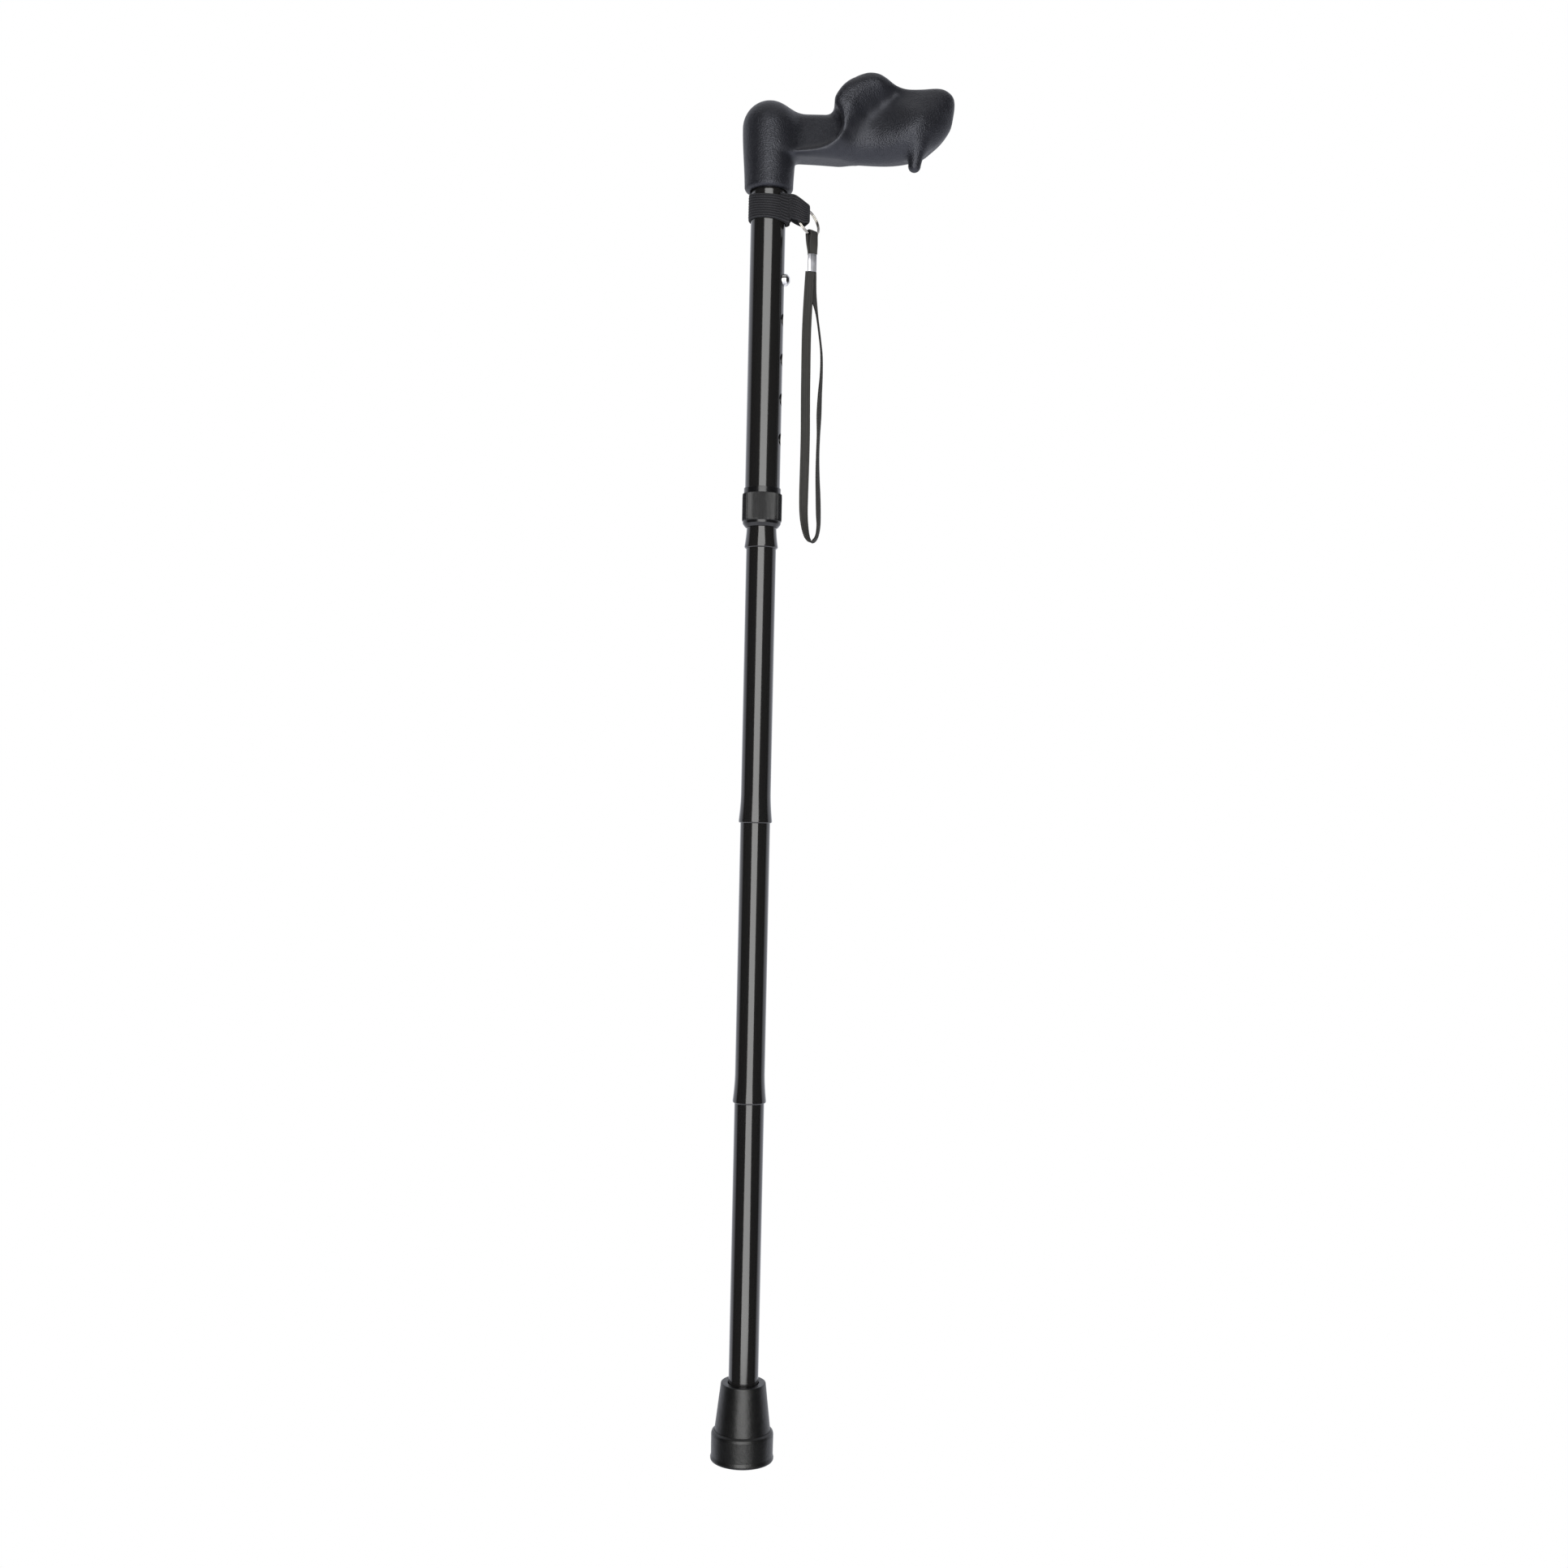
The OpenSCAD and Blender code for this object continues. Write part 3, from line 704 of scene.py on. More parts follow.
def collar_parts():
    """The knurled nut with its glossy nose, and the sleeve whose rim shows above it."""
    bottom, top, outer = low("lock_collar"), high("lock_collar"), radius("lock_collar")
    ribs, rib_form = 112, [0.0, 0.75, 1.0, 0.9, 0.3]
    columns = ribs * len(rib_form)
    rng = np.random.default_rng(7)
    rib_depth = np.repeat(0.24 + 0.2 * rng.random(ribs), len(rib_form)) * (1 - np.tile(rib_form, ribs))
    knurl_low, bore = bottom + 3.8, 11.95
    corners = [(9.85, bottom + 0.9, 0), (9.85, bottom, 0.25), (10.5, bottom, 0.5), (12.05, bottom + 2.1, 0.9),
               (12.2, knurl_low - 0.15, 0.05), (outer - 0.15, knurl_low, 0.25), (outer, knurl_low + 1.2, 0.8),
               (outer, top - 2.2, 0.5), (outer - 0.1, top, 1.2), (bore + 0.1, top, 0.1), (bore, top - 0.4, 0),
               (bore, bottom + 4.2, 0), (11.35, bottom + 3.3, 0), (11.35, bottom + 1.9, 0)]

    def knurled(radii, heights):
        on_knurl = smoothstep((heights - knurl_low + 0.1) / 0.4) * smoothstep((radii - 12.25) / 0.2)
        return radii - on_knurl * rib_depth[None]

    lathe_piece("lock_collar_knurled", "lock_collar", "collar", "collar_plastic", rounded(corners), columns,
                shape=knurled)

    rim_r, thread_r, rim_top = 11.72, radius("collar_sleeve"), high("collar_sleeve")
    sleeve_low, tube_low = low("collar_sleeve"), low("upper_tube")
    inner, seat = 9.62, radius("upper_tube") + 0.03
    corners = [(inner, sleeve_low, 0.1), (thread_r - 0.6, sleeve_low, 0), (thread_r, sleeve_low + 0.8, 0),
               (thread_r, top + 0.2, 0), (rim_r, top + 0.22, 0), (rim_r, rim_top - 0.1, 0.5),
               (rim_r - 0.25, rim_top, 0.25), (seat, rim_top, 0), (seat, tube_low, 0), (inner, tube_low, 0)]
    lathe_piece("collar_sleeve_rim", "collar_sleeve", "grip_and_upper_tube", "collar_plastic",
                rounded(corners), 144, 50)


def snap_button():
    """The polished pin with a domed end, turned about the hole's axis."""
    tip, back, flange_r, shaft_r = 14.8, 6.2, 4.4, 3.8
    corners = [(0.001, back, 0), (flange_r, back, 0.2), (flange_r, back + 0.7, 0.2),
               (shaft_r, back + 0.7, 0.1), (shaft_r, tip - 1.5, 1.9), (1.7, tip, 1.2), (0.001, tip, 0)]
    button = lathe("snap_button_polished", rounded(corners, closed=False, steps=8), 64, closed=False)
    place = Matrix.Translation((0, 0, button_height() * MM))
    button.data.transform(place @ Matrix.Rotation(HOLE_AZIMUTH, 4, "Z") @ Matrix.Rotation(TAU / 4, 4, "Y"))
    tidy_normals(button)
    place_piece(button, "button", "button_steel", "snap_button")


def leaf_spring():
    """The V-shaped strip inside the extension, its front leg towards the button."""
    fold_r, front_r = -0.8, 5.6
    legs = [(front_r, 761, 0), (front_r, 744, 8), (0.6, 718, 2), (fold_r, 715.5, 1.2), (-2.2, 718, 2),
            (-7, 757, 0)]
    line, _ = evenly(np.array(rounded(legs, closed=False)), 90)
    path = np.stack([line[:, 0], 0 * line[:, 0], line[:, 1]], 1)
    half_width, half_thick, edge = 3, 0.3, 0.15
    section = rounded([(-half_width, -half_thick, edge), (half_width, -half_thick, edge),
                       (half_width, half_thick, edge), (-half_width, half_thick, edge)], steps=3)
    way = np.array([math.cos(HOLE_AZIMUTH), math.sin(HOLE_AZIMUTH), 0])
    across = np.repeat([[-way[1], way[0], 0]], len(path), 0)
    spring = swept("leaf_spring_strip", turned(path, HOLE_AZIMUTH), section, across)
    tidy_normals(spring, 50)
    place_piece(spring, None, "spring_steel", "snap_spring")
    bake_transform(spring)


collar_parts()
snap_button()
leaf_spring()


# ---- ferrule ----

def ferrule():
    """The rubber foot: a tapered socket on a wider base, with ring grooves in its sole."""
    base_r, top = radius("ferrule"), high("ferrule")
    rim_r, shoulder, axis_r = 14.4, 18.4, 0.01
    seat, seat_z, groove = radius("section_4_tube") + 0.05, 6, 1.8
    corners = [(axis_r, 0, 0)]
    for r in (8, 12, 16):
        corners += [(r - 1, 0, 0.2), (r - 0.9, groove, 0.2), (r + 0.9, groove, 0.2), (r + 1, 0, 0.2)]
    corners += [(base_r - 0.1, 0, 0.9), (base_r, 1.6, 0.6), (base_r - 0.45, 3.4, 1.5),
                (base_r - 0.35, shoulder - 2, 0.6), (base_r - 0.75, shoulder - 0.5, 1.0),
                (18.2, shoulder + 0.55, 0.3), (17.75, shoulder + 0.45, 0.12), (17.72, shoulder + 1.3, 0.3),
                (rim_r + 0.12, top - 2, 0.9), (rim_r - 0.1, top, 0.75), (seat + 0.5, top - 0.1, 0.4),
                (seat, top - 1.2, 0), (seat, seat_z, 0), (axis_r, seat_z, 0)]
    lathe_piece("ferrule_moulded", "ferrule", "section_4", "black_rubber",
                rounded(corners, closed=False, steps=6), 160, 60, closed=False)


ferrule()


# ---- webbing band, its fold, and the split ring ----

RIBS = 10


def webbing_profile(thick):
    """Closed (height, depth) section of ribbed webbing, 1 high. Depth 0 is the inner face."""
    t = np.linspace(0, 1, 81)
    rib = np.abs(np.sin(math.pi * RIBS * t)) ** 0.7
    edge = np.sqrt(np.clip(1 - np.abs(2 * t - 1) ** 14, 0, 1))
    outer = np.stack([t - 0.5, thick * edge * (0.76 + 0.24 * rib)], 1)
    inner = np.stack([t[::-1] - 0.5, 0.06 * (1 - edge[::-1])], 1)
    return np.concatenate([outer, inner[1:-1]])


def webbing(name, plan, bottoms, tops, thick, closed):
    """Webbing that stands on edge along a plan path, between two heights that may change."""
    count = len(plan)
    section = webbing_profile(thick)
    yarn_pitch, yarn_lift = 0.95, 0.07
    along = np.roll(plan, -1, 0) - np.roll(plan, 1, 0) if closed else np.gradient(plan, axis=0)
    along /= np.linalg.norm(along, axis=1)[:, None]
    outward = np.stack([along[:, 1], -along[:, 0]], 1)
    distance = np.concatenate([[0], np.cumsum(np.linalg.norm(np.diff(plan, axis=0), axis=1))])
    rib = np.floor((section[:, 0] + 0.5) * RIBS).clip(0, RIBS - 1)
    inside_rib = np.abs(np.sin(math.pi * RIBS * (section[:, 0] + 0.5)))
    yarn = 0.5 + 0.5 * np.sin(TAU * distance[:, None] / yarn_pitch + math.pi * rib + inside_rib)
    depth = section[:, 1] + yarn_lift * (yarn - 0.5) * inside_rib * (section[:, 1] > thick * 0.5)
    ring = plan[:, None] + depth[..., None] * outward[:, None]
    rise = (bottoms + tops)[:, None] / 2 + section[:, 0] * (tops - bottoms)[:, None]
    points = np.concatenate([ring, rise[..., None]], 2).reshape(-1, 3)
    faces = grid_faces(count, len(section), close_rows=closed)
    if not closed:
        faces += end_caps(count, len(section))
    made = mesh_object(name, points, faces)
    # The height darkens the colour on the low parts of the yarns and in the grooves between the ribs: painted
    # shade.
    yarn_attribute(made, (0.6 + 0.4 * yarn) * (0.25 + 0.75 * inside_rib))
    tidy_normals(made)
    return made


def band_pieces():
    """The webbing round the tube, and the fold that holds the ring."""
    inner = radius("upper_tube") + 0.3
    base = low("webbing_band")
    angles = np.arange(600) * TAU / 600
    plan = inner * np.stack([np.cos(angles), np.sin(angles)], 1)
    tops = base + 17.4 - 0.6 * np.cos(angles) + 1.9 * np.sin(angles)
    bottoms = base - 0.2 - 0.9 * np.cos(angles) - 0.2 * np.sin(angles)
    band = webbing("webbing_band_ribbed", plan, bottoms, tops, 1.35, True)
    place_piece(band, "strap_band", "black_webbing", "webbing_band")

    plan = [(7.2, -9.3), (10.2, -7.4), (12.6, -6.3), (15, -6.6), (18, -7.8), (21.2, -7.6), (24, -5.8),
            (25.4, -2.8), (24.8, 0.4), (22.4, 2.9), (19, 3.6), (15.8, 2.2), (13.6, 0.4), (12.4, 1.6),
            (11.6, 3.8)]
    count = 460
    line, _ = evenly(catmull(plan, 900), count)
    x = line[:, 0]
    back_lift = np.where(np.arange(count) < count / 2, 0, 0.6)
    tops = base + 17.1 - 6.0 * smoothstep((x - 14) / 12.5)
    bottoms = base + back_lift
    bottoms = bottoms + np.interp(x, [7, 12.8, 13.2, 14.6, 22.5, 25.5], [-0.4, -2, -1.6, 1.4, -1.8, -0.2])
    fold = webbing("webbing_fold_ribbed", line, bottoms, tops, 1.2, False)
    place_piece(fold, "strap_band", "black_webbing", "webbing_loop")


def stitches():
    """Zigzag rows of thread that close the fold beside the tube."""
    thread, around, count = 0.22, 8, 17
    spin = np.arange(around) * TAU / around
    base = low("webbing_band")
    points, faces = [], []
    for row_x, phase in ((13.1, 0), (15.4, 1)):
        line = []
        for i in range(count):
            x = row_x + 0.55 * (1 if (i + phase) % 2 else -1)
            line.append((x, -7.75 - 0.1 * (x - 13), base + 1.2 + i * 0.93))
        route = catmull(line, count * 6)
        route[:, 1] += 0.18 * np.abs(np.sin(np.linspace(0, math.pi * (count - 1), len(route))) - 0.5)
        along = np.gradient(route, axis=0)
        along /= np.linalg.norm(along, axis=1)[:, None]
        side = np.cross(along, (0, 1, 0))
        up = np.cross(along, side)
        start = len(points)
        for p, s, u in zip(route, side, up):
            points += [p + thread * (math.cos(a) * s + math.sin(a) * u) for a in spin]
        rows = grid_faces(len(route), around) + end_caps(len(route), around)
        faces += [tuple(start + v for v in f) for f in rows]
    sewn = mesh_object("webbing_stitches", points, faces)
    yarn_attribute(sewn, np.full(len(points), 0.6))
    tidy_normals(sewn)
    place_piece(sewn, "strap_band", "black_webbing")


def split_ring():
    """Two close turns of flattened wire, with the step where one turn passes to the other."""
    centre = np.array([25.6, 1.5, 790.6])
    mean_r, wire, step = 9.6, 0.43, 0.46
    count = 420
    t = np.linspace(0, 1, count)
    angle = t * 2 * TAU * 0.985 + math.radians(200)
    lift = step * (2 * smoothstep((t - 0.5) / 0.07 + 0.5) - 1)
    local = np.stack([mean_r * np.cos(angle), mean_r * np.sin(angle), lift], 1)
    tilt = math.radians(90 - 19)
    turn_up = np.array(Matrix.Rotation(RING_SIDE, 3, "Z") @ Matrix.Rotation(tilt, 3, "X"))
    across = np.repeat((turn_up @ np.array([0, 0, 1]))[None], count, 0)
    a = np.arange(14) * TAU / 14

    def flattened(wave):
        return np.sign(wave) * np.abs(wave) ** 0.75

    section = wire * np.stack([flattened(np.cos(a)), 1.35 * flattened(np.sin(a))], 1)
    ring = swept("split_ring_wire", local @ turn_up.T + centre, section, across)
    tidy_normals(ring, 50)
    place_piece(ring, "ring", "ring_steel", "split_ring")


band_pieces()
stitches()
split_ring()


# ---- grip ----

# Outline of the palm rest from the side: the hump, the rear, the underside, and back along the lip
# that stands out from the bar
PALM_OUTLINE = [
    (40.6, 860.8), (40.8, 864.4), (43.2, 868.8), (46.6, 873), (52, 877.2), (57.8, 880), (62.6, 881.2),
    (68.2, 880.8), (73.2, 878.8), (79, 875.8), (85.9, 874.2), (95.5, 874), (105.8, 874.4),
    (111.4, 873.1), (115.8, 869.5), (117.1, 864.6), (116.4, 857), (114.8, 850), (110, 843),
    (103.6, 837), (97, 832), (88, 829.6), (76, 828.4), (56, 828.7), (38, 829.2), (24, 829.4),
    (8, 829.6), (5, 830), (9, 830.8), (15, 831.5), (22, 832.2), (30, 833.2), (37, 835.6), (42.4, 839.8),
    (45.2, 845.2), (45.4, 850.6), (43.6, 856),
]

# Shape of the palm rest's near face: how far it stands from the middle plane at (x, z), as (x, z, y)
NEAR_FACE = [
    (2, 831, -12.6), (10, 831, -12.8), (2, 827, -9), (10, 827, -9), (20, 832, -13.8), (20, 828, -9.4),
    (30, 833, -15), (30, 829, -9.8), (38, 836, -16.6), (38, 830, -10), (44, 841, -17.6), (44, 834, -12),
    (46.5, 848, -19), (50, 842, -14), (46, 858, -19.4), (51, 859, -19.2), (46, 866, -19.4),
    (52, 867, -19.6), (52, 873, -19.4), (61, 875, -18.6), (70, 874, -17), (60, 867, -17.8),
    (56, 860, -17), (61, 881, -17.4), (54, 849, -13.8), (61, 855, -12.2), (69, 862, -11.2),
    (77, 867.5, -10), (86, 870, -9), (52, 832, -9.4), (58, 842, -11.6), (66, 847, -11.8),
    (74, 855, -11.6), (84, 862, -12.4), (66, 833, -9), (72, 841, -13.4), (80, 849, -15.6),
    (88, 852, -18), (90, 857, -17), (82, 839, -15.6), (90, 844, -19), (97, 850, -18.8), (98, 857, -17),
    (106, 860, -14.6), (80, 832, -11.4), (92, 836, -14.6), (102, 843, -15), (96, 871, -11.2),
    (107, 868, -12.6), (112, 860, -12), (111, 850, -11.8), (60, 892, -16), (100, 884, -12.5),
    (127, 860, -9), (60, 820, -3), (20, 820, -3), (30, 850, -18), (100, 820, -8),
]

# The same for the far face, which slopes away under the palm
FAR_FACE = [
    (-6, 843, 12), (15, 850, 11), (15, 836, 11), (30, 850, 11.5), (30, 836, 11.5), (42, 856, 10),
    (42, 838, 13), (50, 876, -3), (50, 866, 2.5), (50, 852, 10), (50, 836, 14), (62, 881, -4),
    (62, 870, 2.5), (62, 856, 10.5), (62, 838, 15), (76, 876, 0), (76, 866, 6), (76, 852, 13),
    (76, 836, 15), (90, 873, 4), (90, 862, 10), (90, 848, 15), (90, 834, 13), (104, 872, 5),
    (104, 860, 11), (104, 848, 13), (114, 866, 5), (114, 854, 8), (125, 860, 6), (60, 820, 12),
    (60, 895, -9), (100, 885, 0), (15, 866, 7), (15, 822, 9),
]

# The finger channel's middle line in (x, z), where the grain thins out
CHANNEL = [(12, 829), (26, 830), (40, 833), (54, 846), (68, 858), (80, 867)]
STEM_TOP_R, DOME_Z = 17.4, 848.5
STEM_LOW_R, STEM_Z = 15.5, 808
MAP_STEP = 0.4


def away_from(line, x, z):
    """Distance of each (x, z) from a line of points."""
    best = np.full(np.shape(x), 1e9)
    for (ax, az), (bx, bz) in zip(line[:-1], line[1:]):
        dx, dz = bx - ax, bz - az
        t = np.clip(((x - ax) * dx + (z - az) * dz) / (dx * dx + dz * dz + 1e-12), 0, 1)
        best = np.minimum(best, np.hypot(x - ax - t * dx, z - az - t * dz))
    return best


def outline_distance(x, z):
    """Signed distance to the grip's outline, negative inside."""
    line = catmull(PALM_OUTLINE + PALM_OUTLINE[:1], 220)
    inside = np.zeros(np.shape(x), bool)
    for (ax, az), (bx, bz) in zip(line[:-1], line[1:]):
        crosses = (az > z) != (bz > z)
        if abs(bz - az) > 1e-9:
            inside ^= crosses & (x < ax + (z - az) * (bx - ax) / (bz - az))
    distance = away_from([tuple(p) for p in line], x, z)
    return np.where(inside, -distance, distance)


def thin_plate(controls, x, z):
    """The smoothest sheet through (x, z, height) controls, bending a little short of each."""
    c = np.array(controls, float)
    n = len(c)

    def bend(d2):
        return d2 * np.log(d2 + 1e-9) / 2

    d2 = ((c[:, None, :2] - c[None, :, :2]) ** 2).sum(-1)
    flat = np.concatenate([np.ones((n, 1)), c[:, :2]], 1)
    system = np.block([[bend(d2) + 9 * np.eye(n), flat], [flat.T, np.zeros((3, 3))]])
    weights = np.linalg.solve(system, np.concatenate([c[:, 2], np.zeros(3)]))
    result = weights[n] + weights[n + 1] * x + weights[n + 2] * z
    for (cx, cz, _), w in zip(c, weights[:n]):
        result = result + w * bend((x - cx) ** 2 + (z - cz) ** 2)
    return result


def edge_radius(x, z):
    """Radius of the rounding from the faces into the outline."""
    lip = 1 - smoothstep((x - 43) / 12)
    hump = smoothstep((x - 44) / 8) * smoothstep((96 - x) / 10) * smoothstep((z - 862) / 10)
    return 9.5 - (5.9 - 1.3 * smoothstep((z - 838) / 8)) * lip - 2 * hump


def smooth_min(a, b, k):
    """The smaller of two distances, with a fillet of about k between them."""
    h = np.clip(k - np.abs(a - b), 0, None) / k
    return np.minimum(a, b) - h * h * k / 4


class GripMaps:
    """Outline distance, near and far faces and edge radius, looked up in a fine grid over (x, z)."""

    def __init__(self):
        self.start = np.array([-24, 800])
        x, z = np.meshgrid(np.arange(-24, 126, MAP_STEP), np.arange(800, 896, MAP_STEP), indexing="ij")
        faces = thin_plate(NEAR_FACE, x, z), thin_plate(FAR_FACE, x, z)
        self.maps = np.stack([outline_distance(x, z), *faces, edge_radius(x, z)], -1)

    def __call__(self, x, z):
        u, v = (x - self.start[0]) / MAP_STEP, (z - self.start[1]) / MAP_STEP
        i = np.clip(u.astype(int), 0, self.maps.shape[0] - 2)
        j = np.clip(v.astype(int), 0, self.maps.shape[1] - 2)
        u, v = (u - i)[..., None], (v - j)[..., None]
        m = self.maps
        found = (m[i, j] * (1 - u) * (1 - v) + m[i + 1, j] * u * (1 - v)
                 + m[i, j + 1] * (1 - u) * v + m[i + 1, j + 1] * u * v)
        return tuple(np.moveaxis(found, -1, 0))


def rounded_both(a, b, r):
    """Distance to where two distances are both negative, with the edge between them rounded."""
    a, b = a + r, b + r
    return np.minimum(np.maximum(a, b), 0) + np.hypot(np.maximum(a, 0), np.maximum(b, 0)) - r


def grip_distance(x, y, z, maps):
    """Distance to the grip's surface in millimetres, negative inside."""
    outline, near, far, edge = maps
    edge = np.clip(edge, 1, np.maximum((far - near) / 2 - 0.5, 1))
    palm = rounded_both(outline, np.maximum(near - y, y - far), edge)
    bar_near = -10.2 + 0.3 * (z - 830) + 6 * smoothstep((x - 38) / 12) * (1 - smoothstep((z - 838) / 8))
    bar = rounded_both(z - 860.2, np.maximum((bar_near - y) / 1.05, y - 11.5), 6.5)
    bar = rounded_both(bar, np.maximum(832.6 - z, np.maximum(x - 52, -2 - x)), 3)
    palm = smooth_min(palm, bar, 6)
    across = np.hypot(x, y)
    side = across - (STEM_LOW_R + (STEM_TOP_R - STEM_LOW_R) * smoothstep((z - STEM_Z) / (DOME_Z - STEM_Z)))
    dome = np.sqrt(x * x + y * y + (z - DOME_Z) ** 2) - STEM_TOP_R
    stem = rounded_both(np.where(z > DOME_Z, dome, side), STEM_Z - z, 3)
    fillet = 4.5 + 4.5 * smoothstep((z - 829) / 10)
    body = smooth_min(stem, palm, fillet)
    t = np.clip((z - 824.4) / 11.6, 0, 1)
    nub_x, nub_y, nub_z, nub_r = 92.1 + 1.6 * t, -7 - 1.6 * t, 824.4 + 11.6 * t, 4 + 1.2 * t
    nub = np.sqrt((x - nub_x) ** 2 + (y - nub_y) ** 2 + (z - nub_z) ** 2) - nub_r
    body = smooth_min(body, nub, 6)
    bore = np.maximum(across - 11.5, z - 846)
    return -smooth_min(-body, bore, 0.8)


def surface_nets(values, origin, step):
    """Points and quads round the zero level of a grid of distances."""
    size = [n - 1 for n in values.shape]
    total, hits = np.zeros((*size, 3)), np.zeros(size)

    def corner(offset):
        return values[tuple(slice(o, o + n) for o, n in zip(offset, size))]

    for axis in range(3):
        others = [o for o in range(3) if o != axis]
        for b, c in ((0, 0), (0, 1), (1, 0), (1, 1)):
            offset = [0, 0, 0]
            offset[others[0]], offset[others[1]] = b, c
            v0 = corner(offset)
            offset[axis] = 1
            v1 = corner(offset)
            cut = (v0 < 0) != (v1 < 0)
            hits += cut
            total[..., axis] += np.where(cut, v0 / np.where(cut, v0 - v1, 1), 0)
            total[..., others[0]] += cut * b
            total[..., others[1]] += cut * c
    active = hits > 0
    number = np.full(active.shape, -1)
    number[active] = np.arange(active.sum())
    points = origin + step * (np.argwhere(active) + total[active] / hits[active][:, None])
    quads = []
    for axis in range(3):
        order = [axis] + [o for o in range(3) if o != axis]
        v, n = np.transpose(values, order), np.transpose(number, order)
        i, j, k = np.nonzero((v[:-1, 1:-1, 1:-1] < 0) != (v[1:, 1:-1, 1:-1] < 0))
        quads.append(np.stack([n[i, j, k], n[i, j + 1, k], n[i, j + 1, k + 1], n[i, j, k + 1]], 1))
    return points, np.concatenate(quads)


def handle():
    """The moulded grip, as the zero surface of grip_distance, drawn in to it by Newton steps."""
    step = 0.75
    maps = GripMaps()
    axes = [np.arange(a, b, step) for a, b in ((-20, 120), (-26, 20), (805.5, 890))]
    flat = maps(*np.meshgrid(axes[0], axes[2], indexing="ij"))
    x, y, z = np.meshgrid(*axes, indexing="ij")
    values = grip_distance(x, y, z, [m[:, None, :] for m in flat])
    points, quads = surface_nets(values, np.array([a[0] for a in axes]), step)
    small = 0.05
    for _ in range(3):
        values = []
        for move in ((0, 0, 0), (small, 0, 0), (0, small, 0), (0, 0, small)):
            px, py, pz = (points + np.array(move)).T
            values.append(grip_distance(px, py, pz, maps(px, pz)))
        slope = np.stack([(v - values[0]) / small for v in values[1:]], 1)
        size = np.maximum((slope**2).sum(1), 0.15)
        points = points - np.clip(values[0] / size, -0.5, 0.5)[:, None] * slope
    grip = mesh_object("grip_moulded", points, quads)
    tidy_normals(grip)
    smooth = 1 - smoothstep((away_from(CHANNEL, points[:, 0], points[:, 2]) - 3) / 7)
    grain = grip.data.attributes.new("grain", "FLOAT", "POINT")
    grain.data.foreach_set("value", (1 - 0.75 * smooth * (points[:, 1] < 0)).astype(np.float32))
    place_piece(grip, "grip_and_upper_tube", "grip_plastic", "handle")


handle()


# ---- CAD nodes that stay: the hidden works get their own finish ----

HIDDEN_WORKS = {
    "collar_plastic": ("handle_plug", "cord_anchor_top", "cord_anchor_bottom"),
    "soft_seal": ("compression_ring",),
    "white_nylon": ("extension_bush",),
    "bare_aluminium": ("spigot_2", "spigot_3", "spigot_4"),
    "button_steel": ("ferrule_washer",),
    "elastic_cord": ("elastic_1", "elastic_2", "elastic_3"),
}
for look, nodes in HIDDEN_WORKS.items():
    for node in nodes:
        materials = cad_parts[node].data.materials
        materials.clear()
        materials.append(LOOKS[look])


# ---- surroundings ----

def glow(name, colour, strength, one_sided=False):
    """A material that only glows. If it is one-sided, nothing shows of a face seen from behind."""
    material = bpy.data.materials.new(name)
    material.use_nodes = True
    tree = material.node_tree
    tree.nodes.clear()
    light = add_node(tree, "ShaderNodeEmission", {"Color": (*colour, 1), "Strength": strength})
    shown = light.outputs[0]
    if one_sided:
        behind = add_node(tree, "ShaderNodeNewGeometry").outputs["Backfacing"]
        clear = add_node(tree, "ShaderNodeBsdfTransparent").outputs[0]
        shown = add_node(tree, "ShaderNodeMixShader", {"Fac": behind, 1: shown, 2: clear}).outputs[0]
    add_node(tree, "ShaderNodeOutputMaterial", {"Surface": shown})
    return material


def panel(name, points, colour, strength):
    """A soft light made of one glowing face that the camera doesn't see."""
    made = mesh_object(name, points, [tuple(range(len(points)))], unit=1)
    made.data.materials.append(glow(name, colour, strength))
    made.visible_camera = False


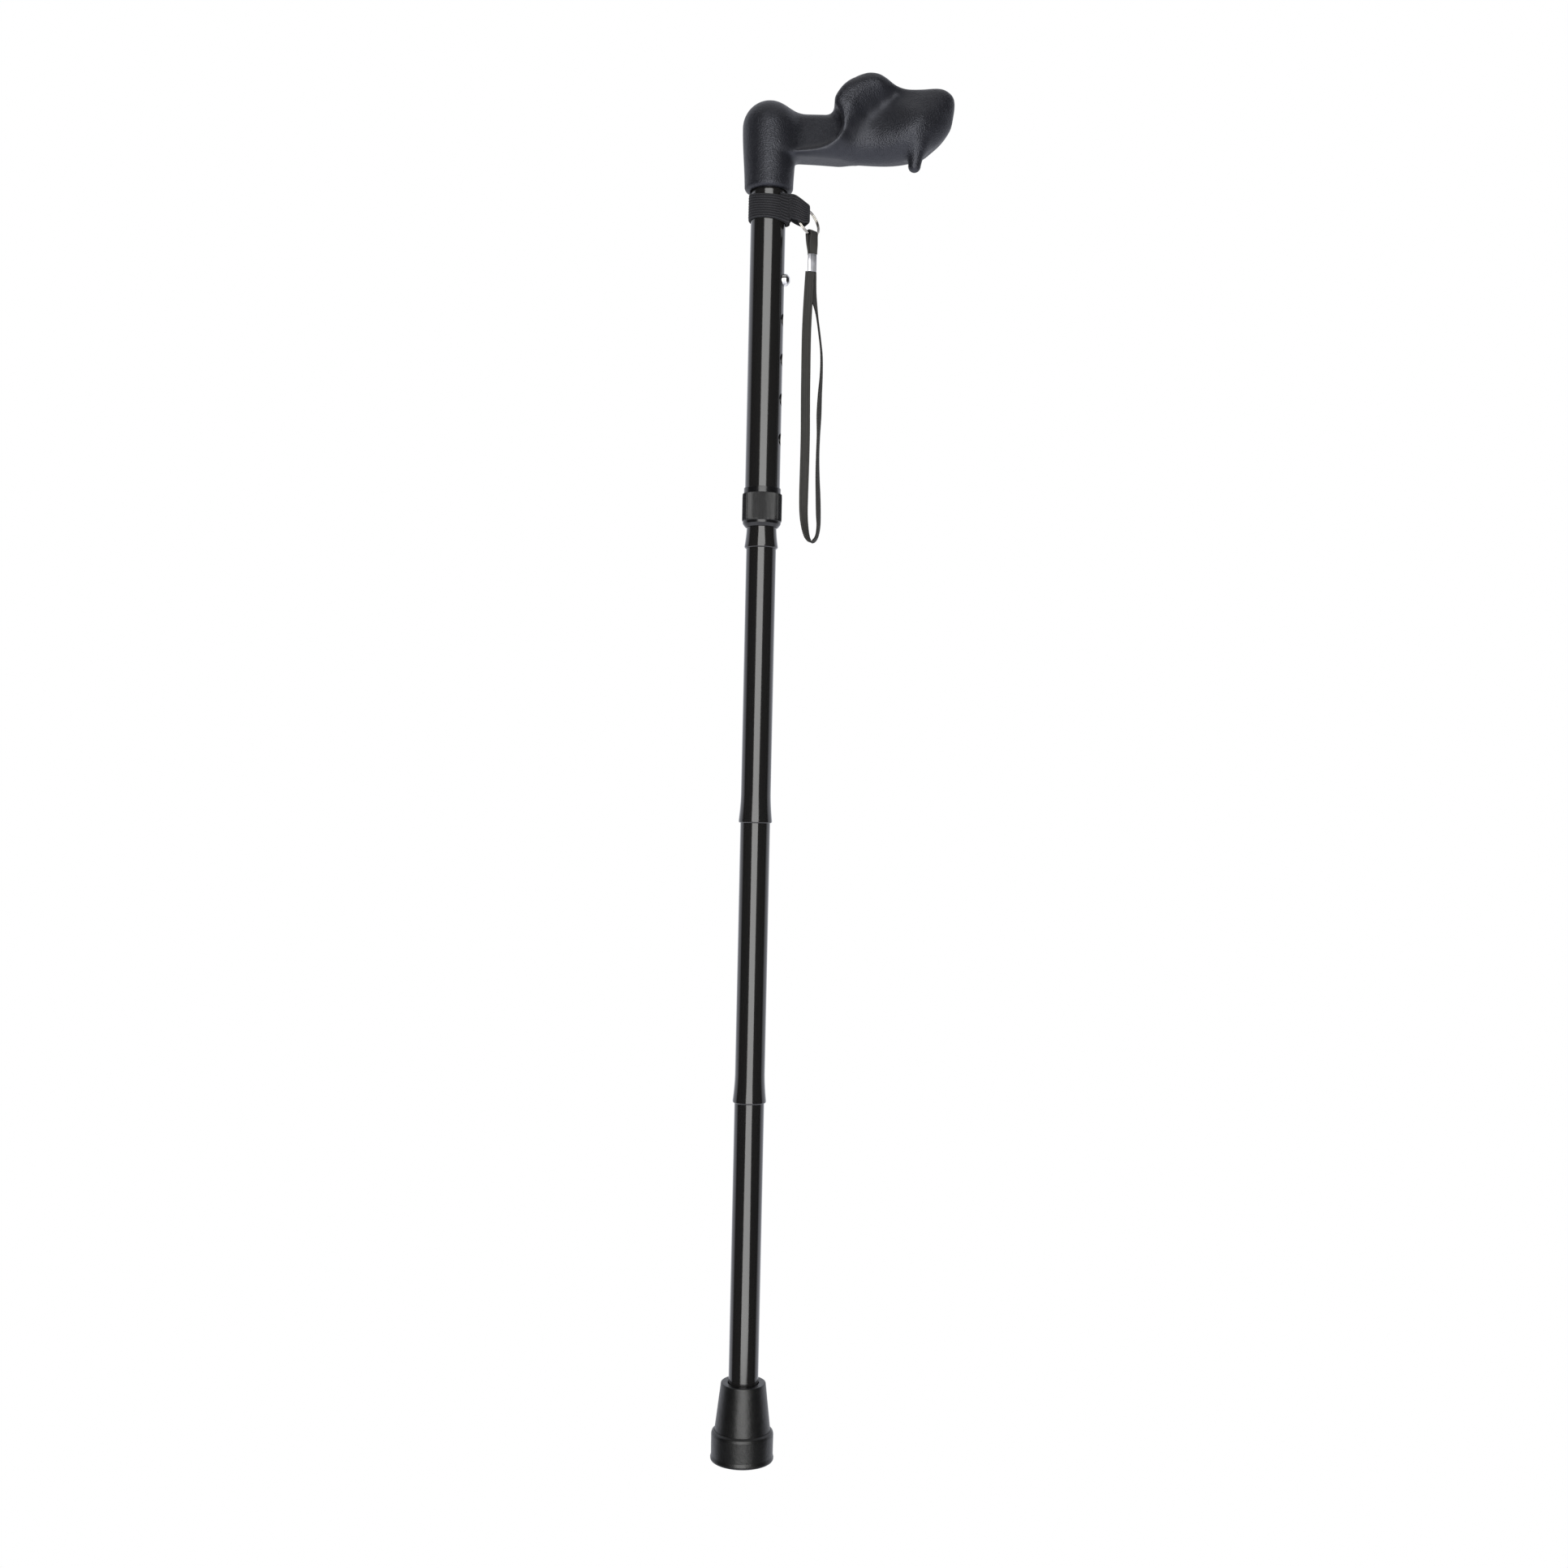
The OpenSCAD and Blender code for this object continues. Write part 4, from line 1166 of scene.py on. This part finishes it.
def studio_world():
    """White all round for the camera. The object sees white behind and below, and dark in front."""
    world = bpy.data.worlds.new("studio")
    bpy.context.scene.world = world
    world.use_nodes = True
    tree = world.node_tree
    tree.nodes.clear()
    place = add_node(tree, "ShaderNodeTexCoord").outputs["Generated"]
    way = add_node(tree, "ShaderNodeSeparateXYZ", {0: place}).outputs

    def spread(axis, start, end, least, most):
        inputs = {"Value": way[axis], "From Min": start, "From Max": end, "To Min": least, "To Max": most}
        return add_node(tree, "ShaderNodeMapRange", inputs, interpolation_type="SMOOTHSTEP").outputs["Result"]

    inputs = {0: spread("Y", 0.08, 0.3, 0.042, 0.95), 1: spread("Z", -0.45, -0.75, 0.0, 1.45)}
    strength = add_node(tree, "ShaderNodeMath", inputs, operation="MAXIMUM").outputs[0]
    lit = add_node(tree, "ShaderNodeBackground", {"Color": (0.9, 0.92, 1, 1), "Strength": strength})
    seen = add_node(tree, "ShaderNodeBackground", {"Color": (1, 1, 1, 1)})
    is_camera = add_node(tree, "ShaderNodeLightPath").outputs["Is Camera Ray"]
    mix = add_node(tree, "ShaderNodeMixShader", {"Fac": is_camera, 1: lit.outputs[0], 2: seen.outputs[0]})
    add_node(tree, "ShaderNodeOutputWorld", {"Surface": mix.outputs[0]})


def surroundings():
    """The world, a white floor well below the cane, and two soft lights, in metres."""
    studio_world()
    side, floor_z = 6, -0.32
    corners = [(-side, -side, floor_z), (side, -side, floor_z), (side, side, floor_z), (-side, side, floor_z)]
    floor = mesh_object("floor", corners, [(0, 1, 2, 3)], unit=1)
    floor.data.materials.append(glow("floor_white", (1, 1, 1), 1.0, one_sided=True))
    floor.visible_glossy = False
    floor.visible_diffuse = False

    key_y = -1.45
    left = [(-0.66, 1.36), (-0.56, 0.94), (-0.66, 0.72), (-0.61, 0.41), (-0.58, 0.155), (-0.6, -0.1),
            (-0.66, -0.47)]
    right = [(0.9, -0.47), (0.6, -0.1), (0.56, 0.155), (0.58, 0.41), (0.64, 0.72), (0.62, 0.94),
             (0.85, 1.36)]
    panel("key_light", [(x, key_y, z) for x, z in left + right], (1, 1, 0.99), 4.6)
    top = [(-0.8, -0.9, 2.1), (-0.8, 0.6, 2.3), (0.9, 0.6, 2.3), (0.9, -0.9, 2.1)]
    panel("top_light", top, (1, 1, 1), 0.75)


surroundings()
bpy.context.scene.view_settings.view_transform = "Standard"
bpy.context.scene.view_settings.look = "None"
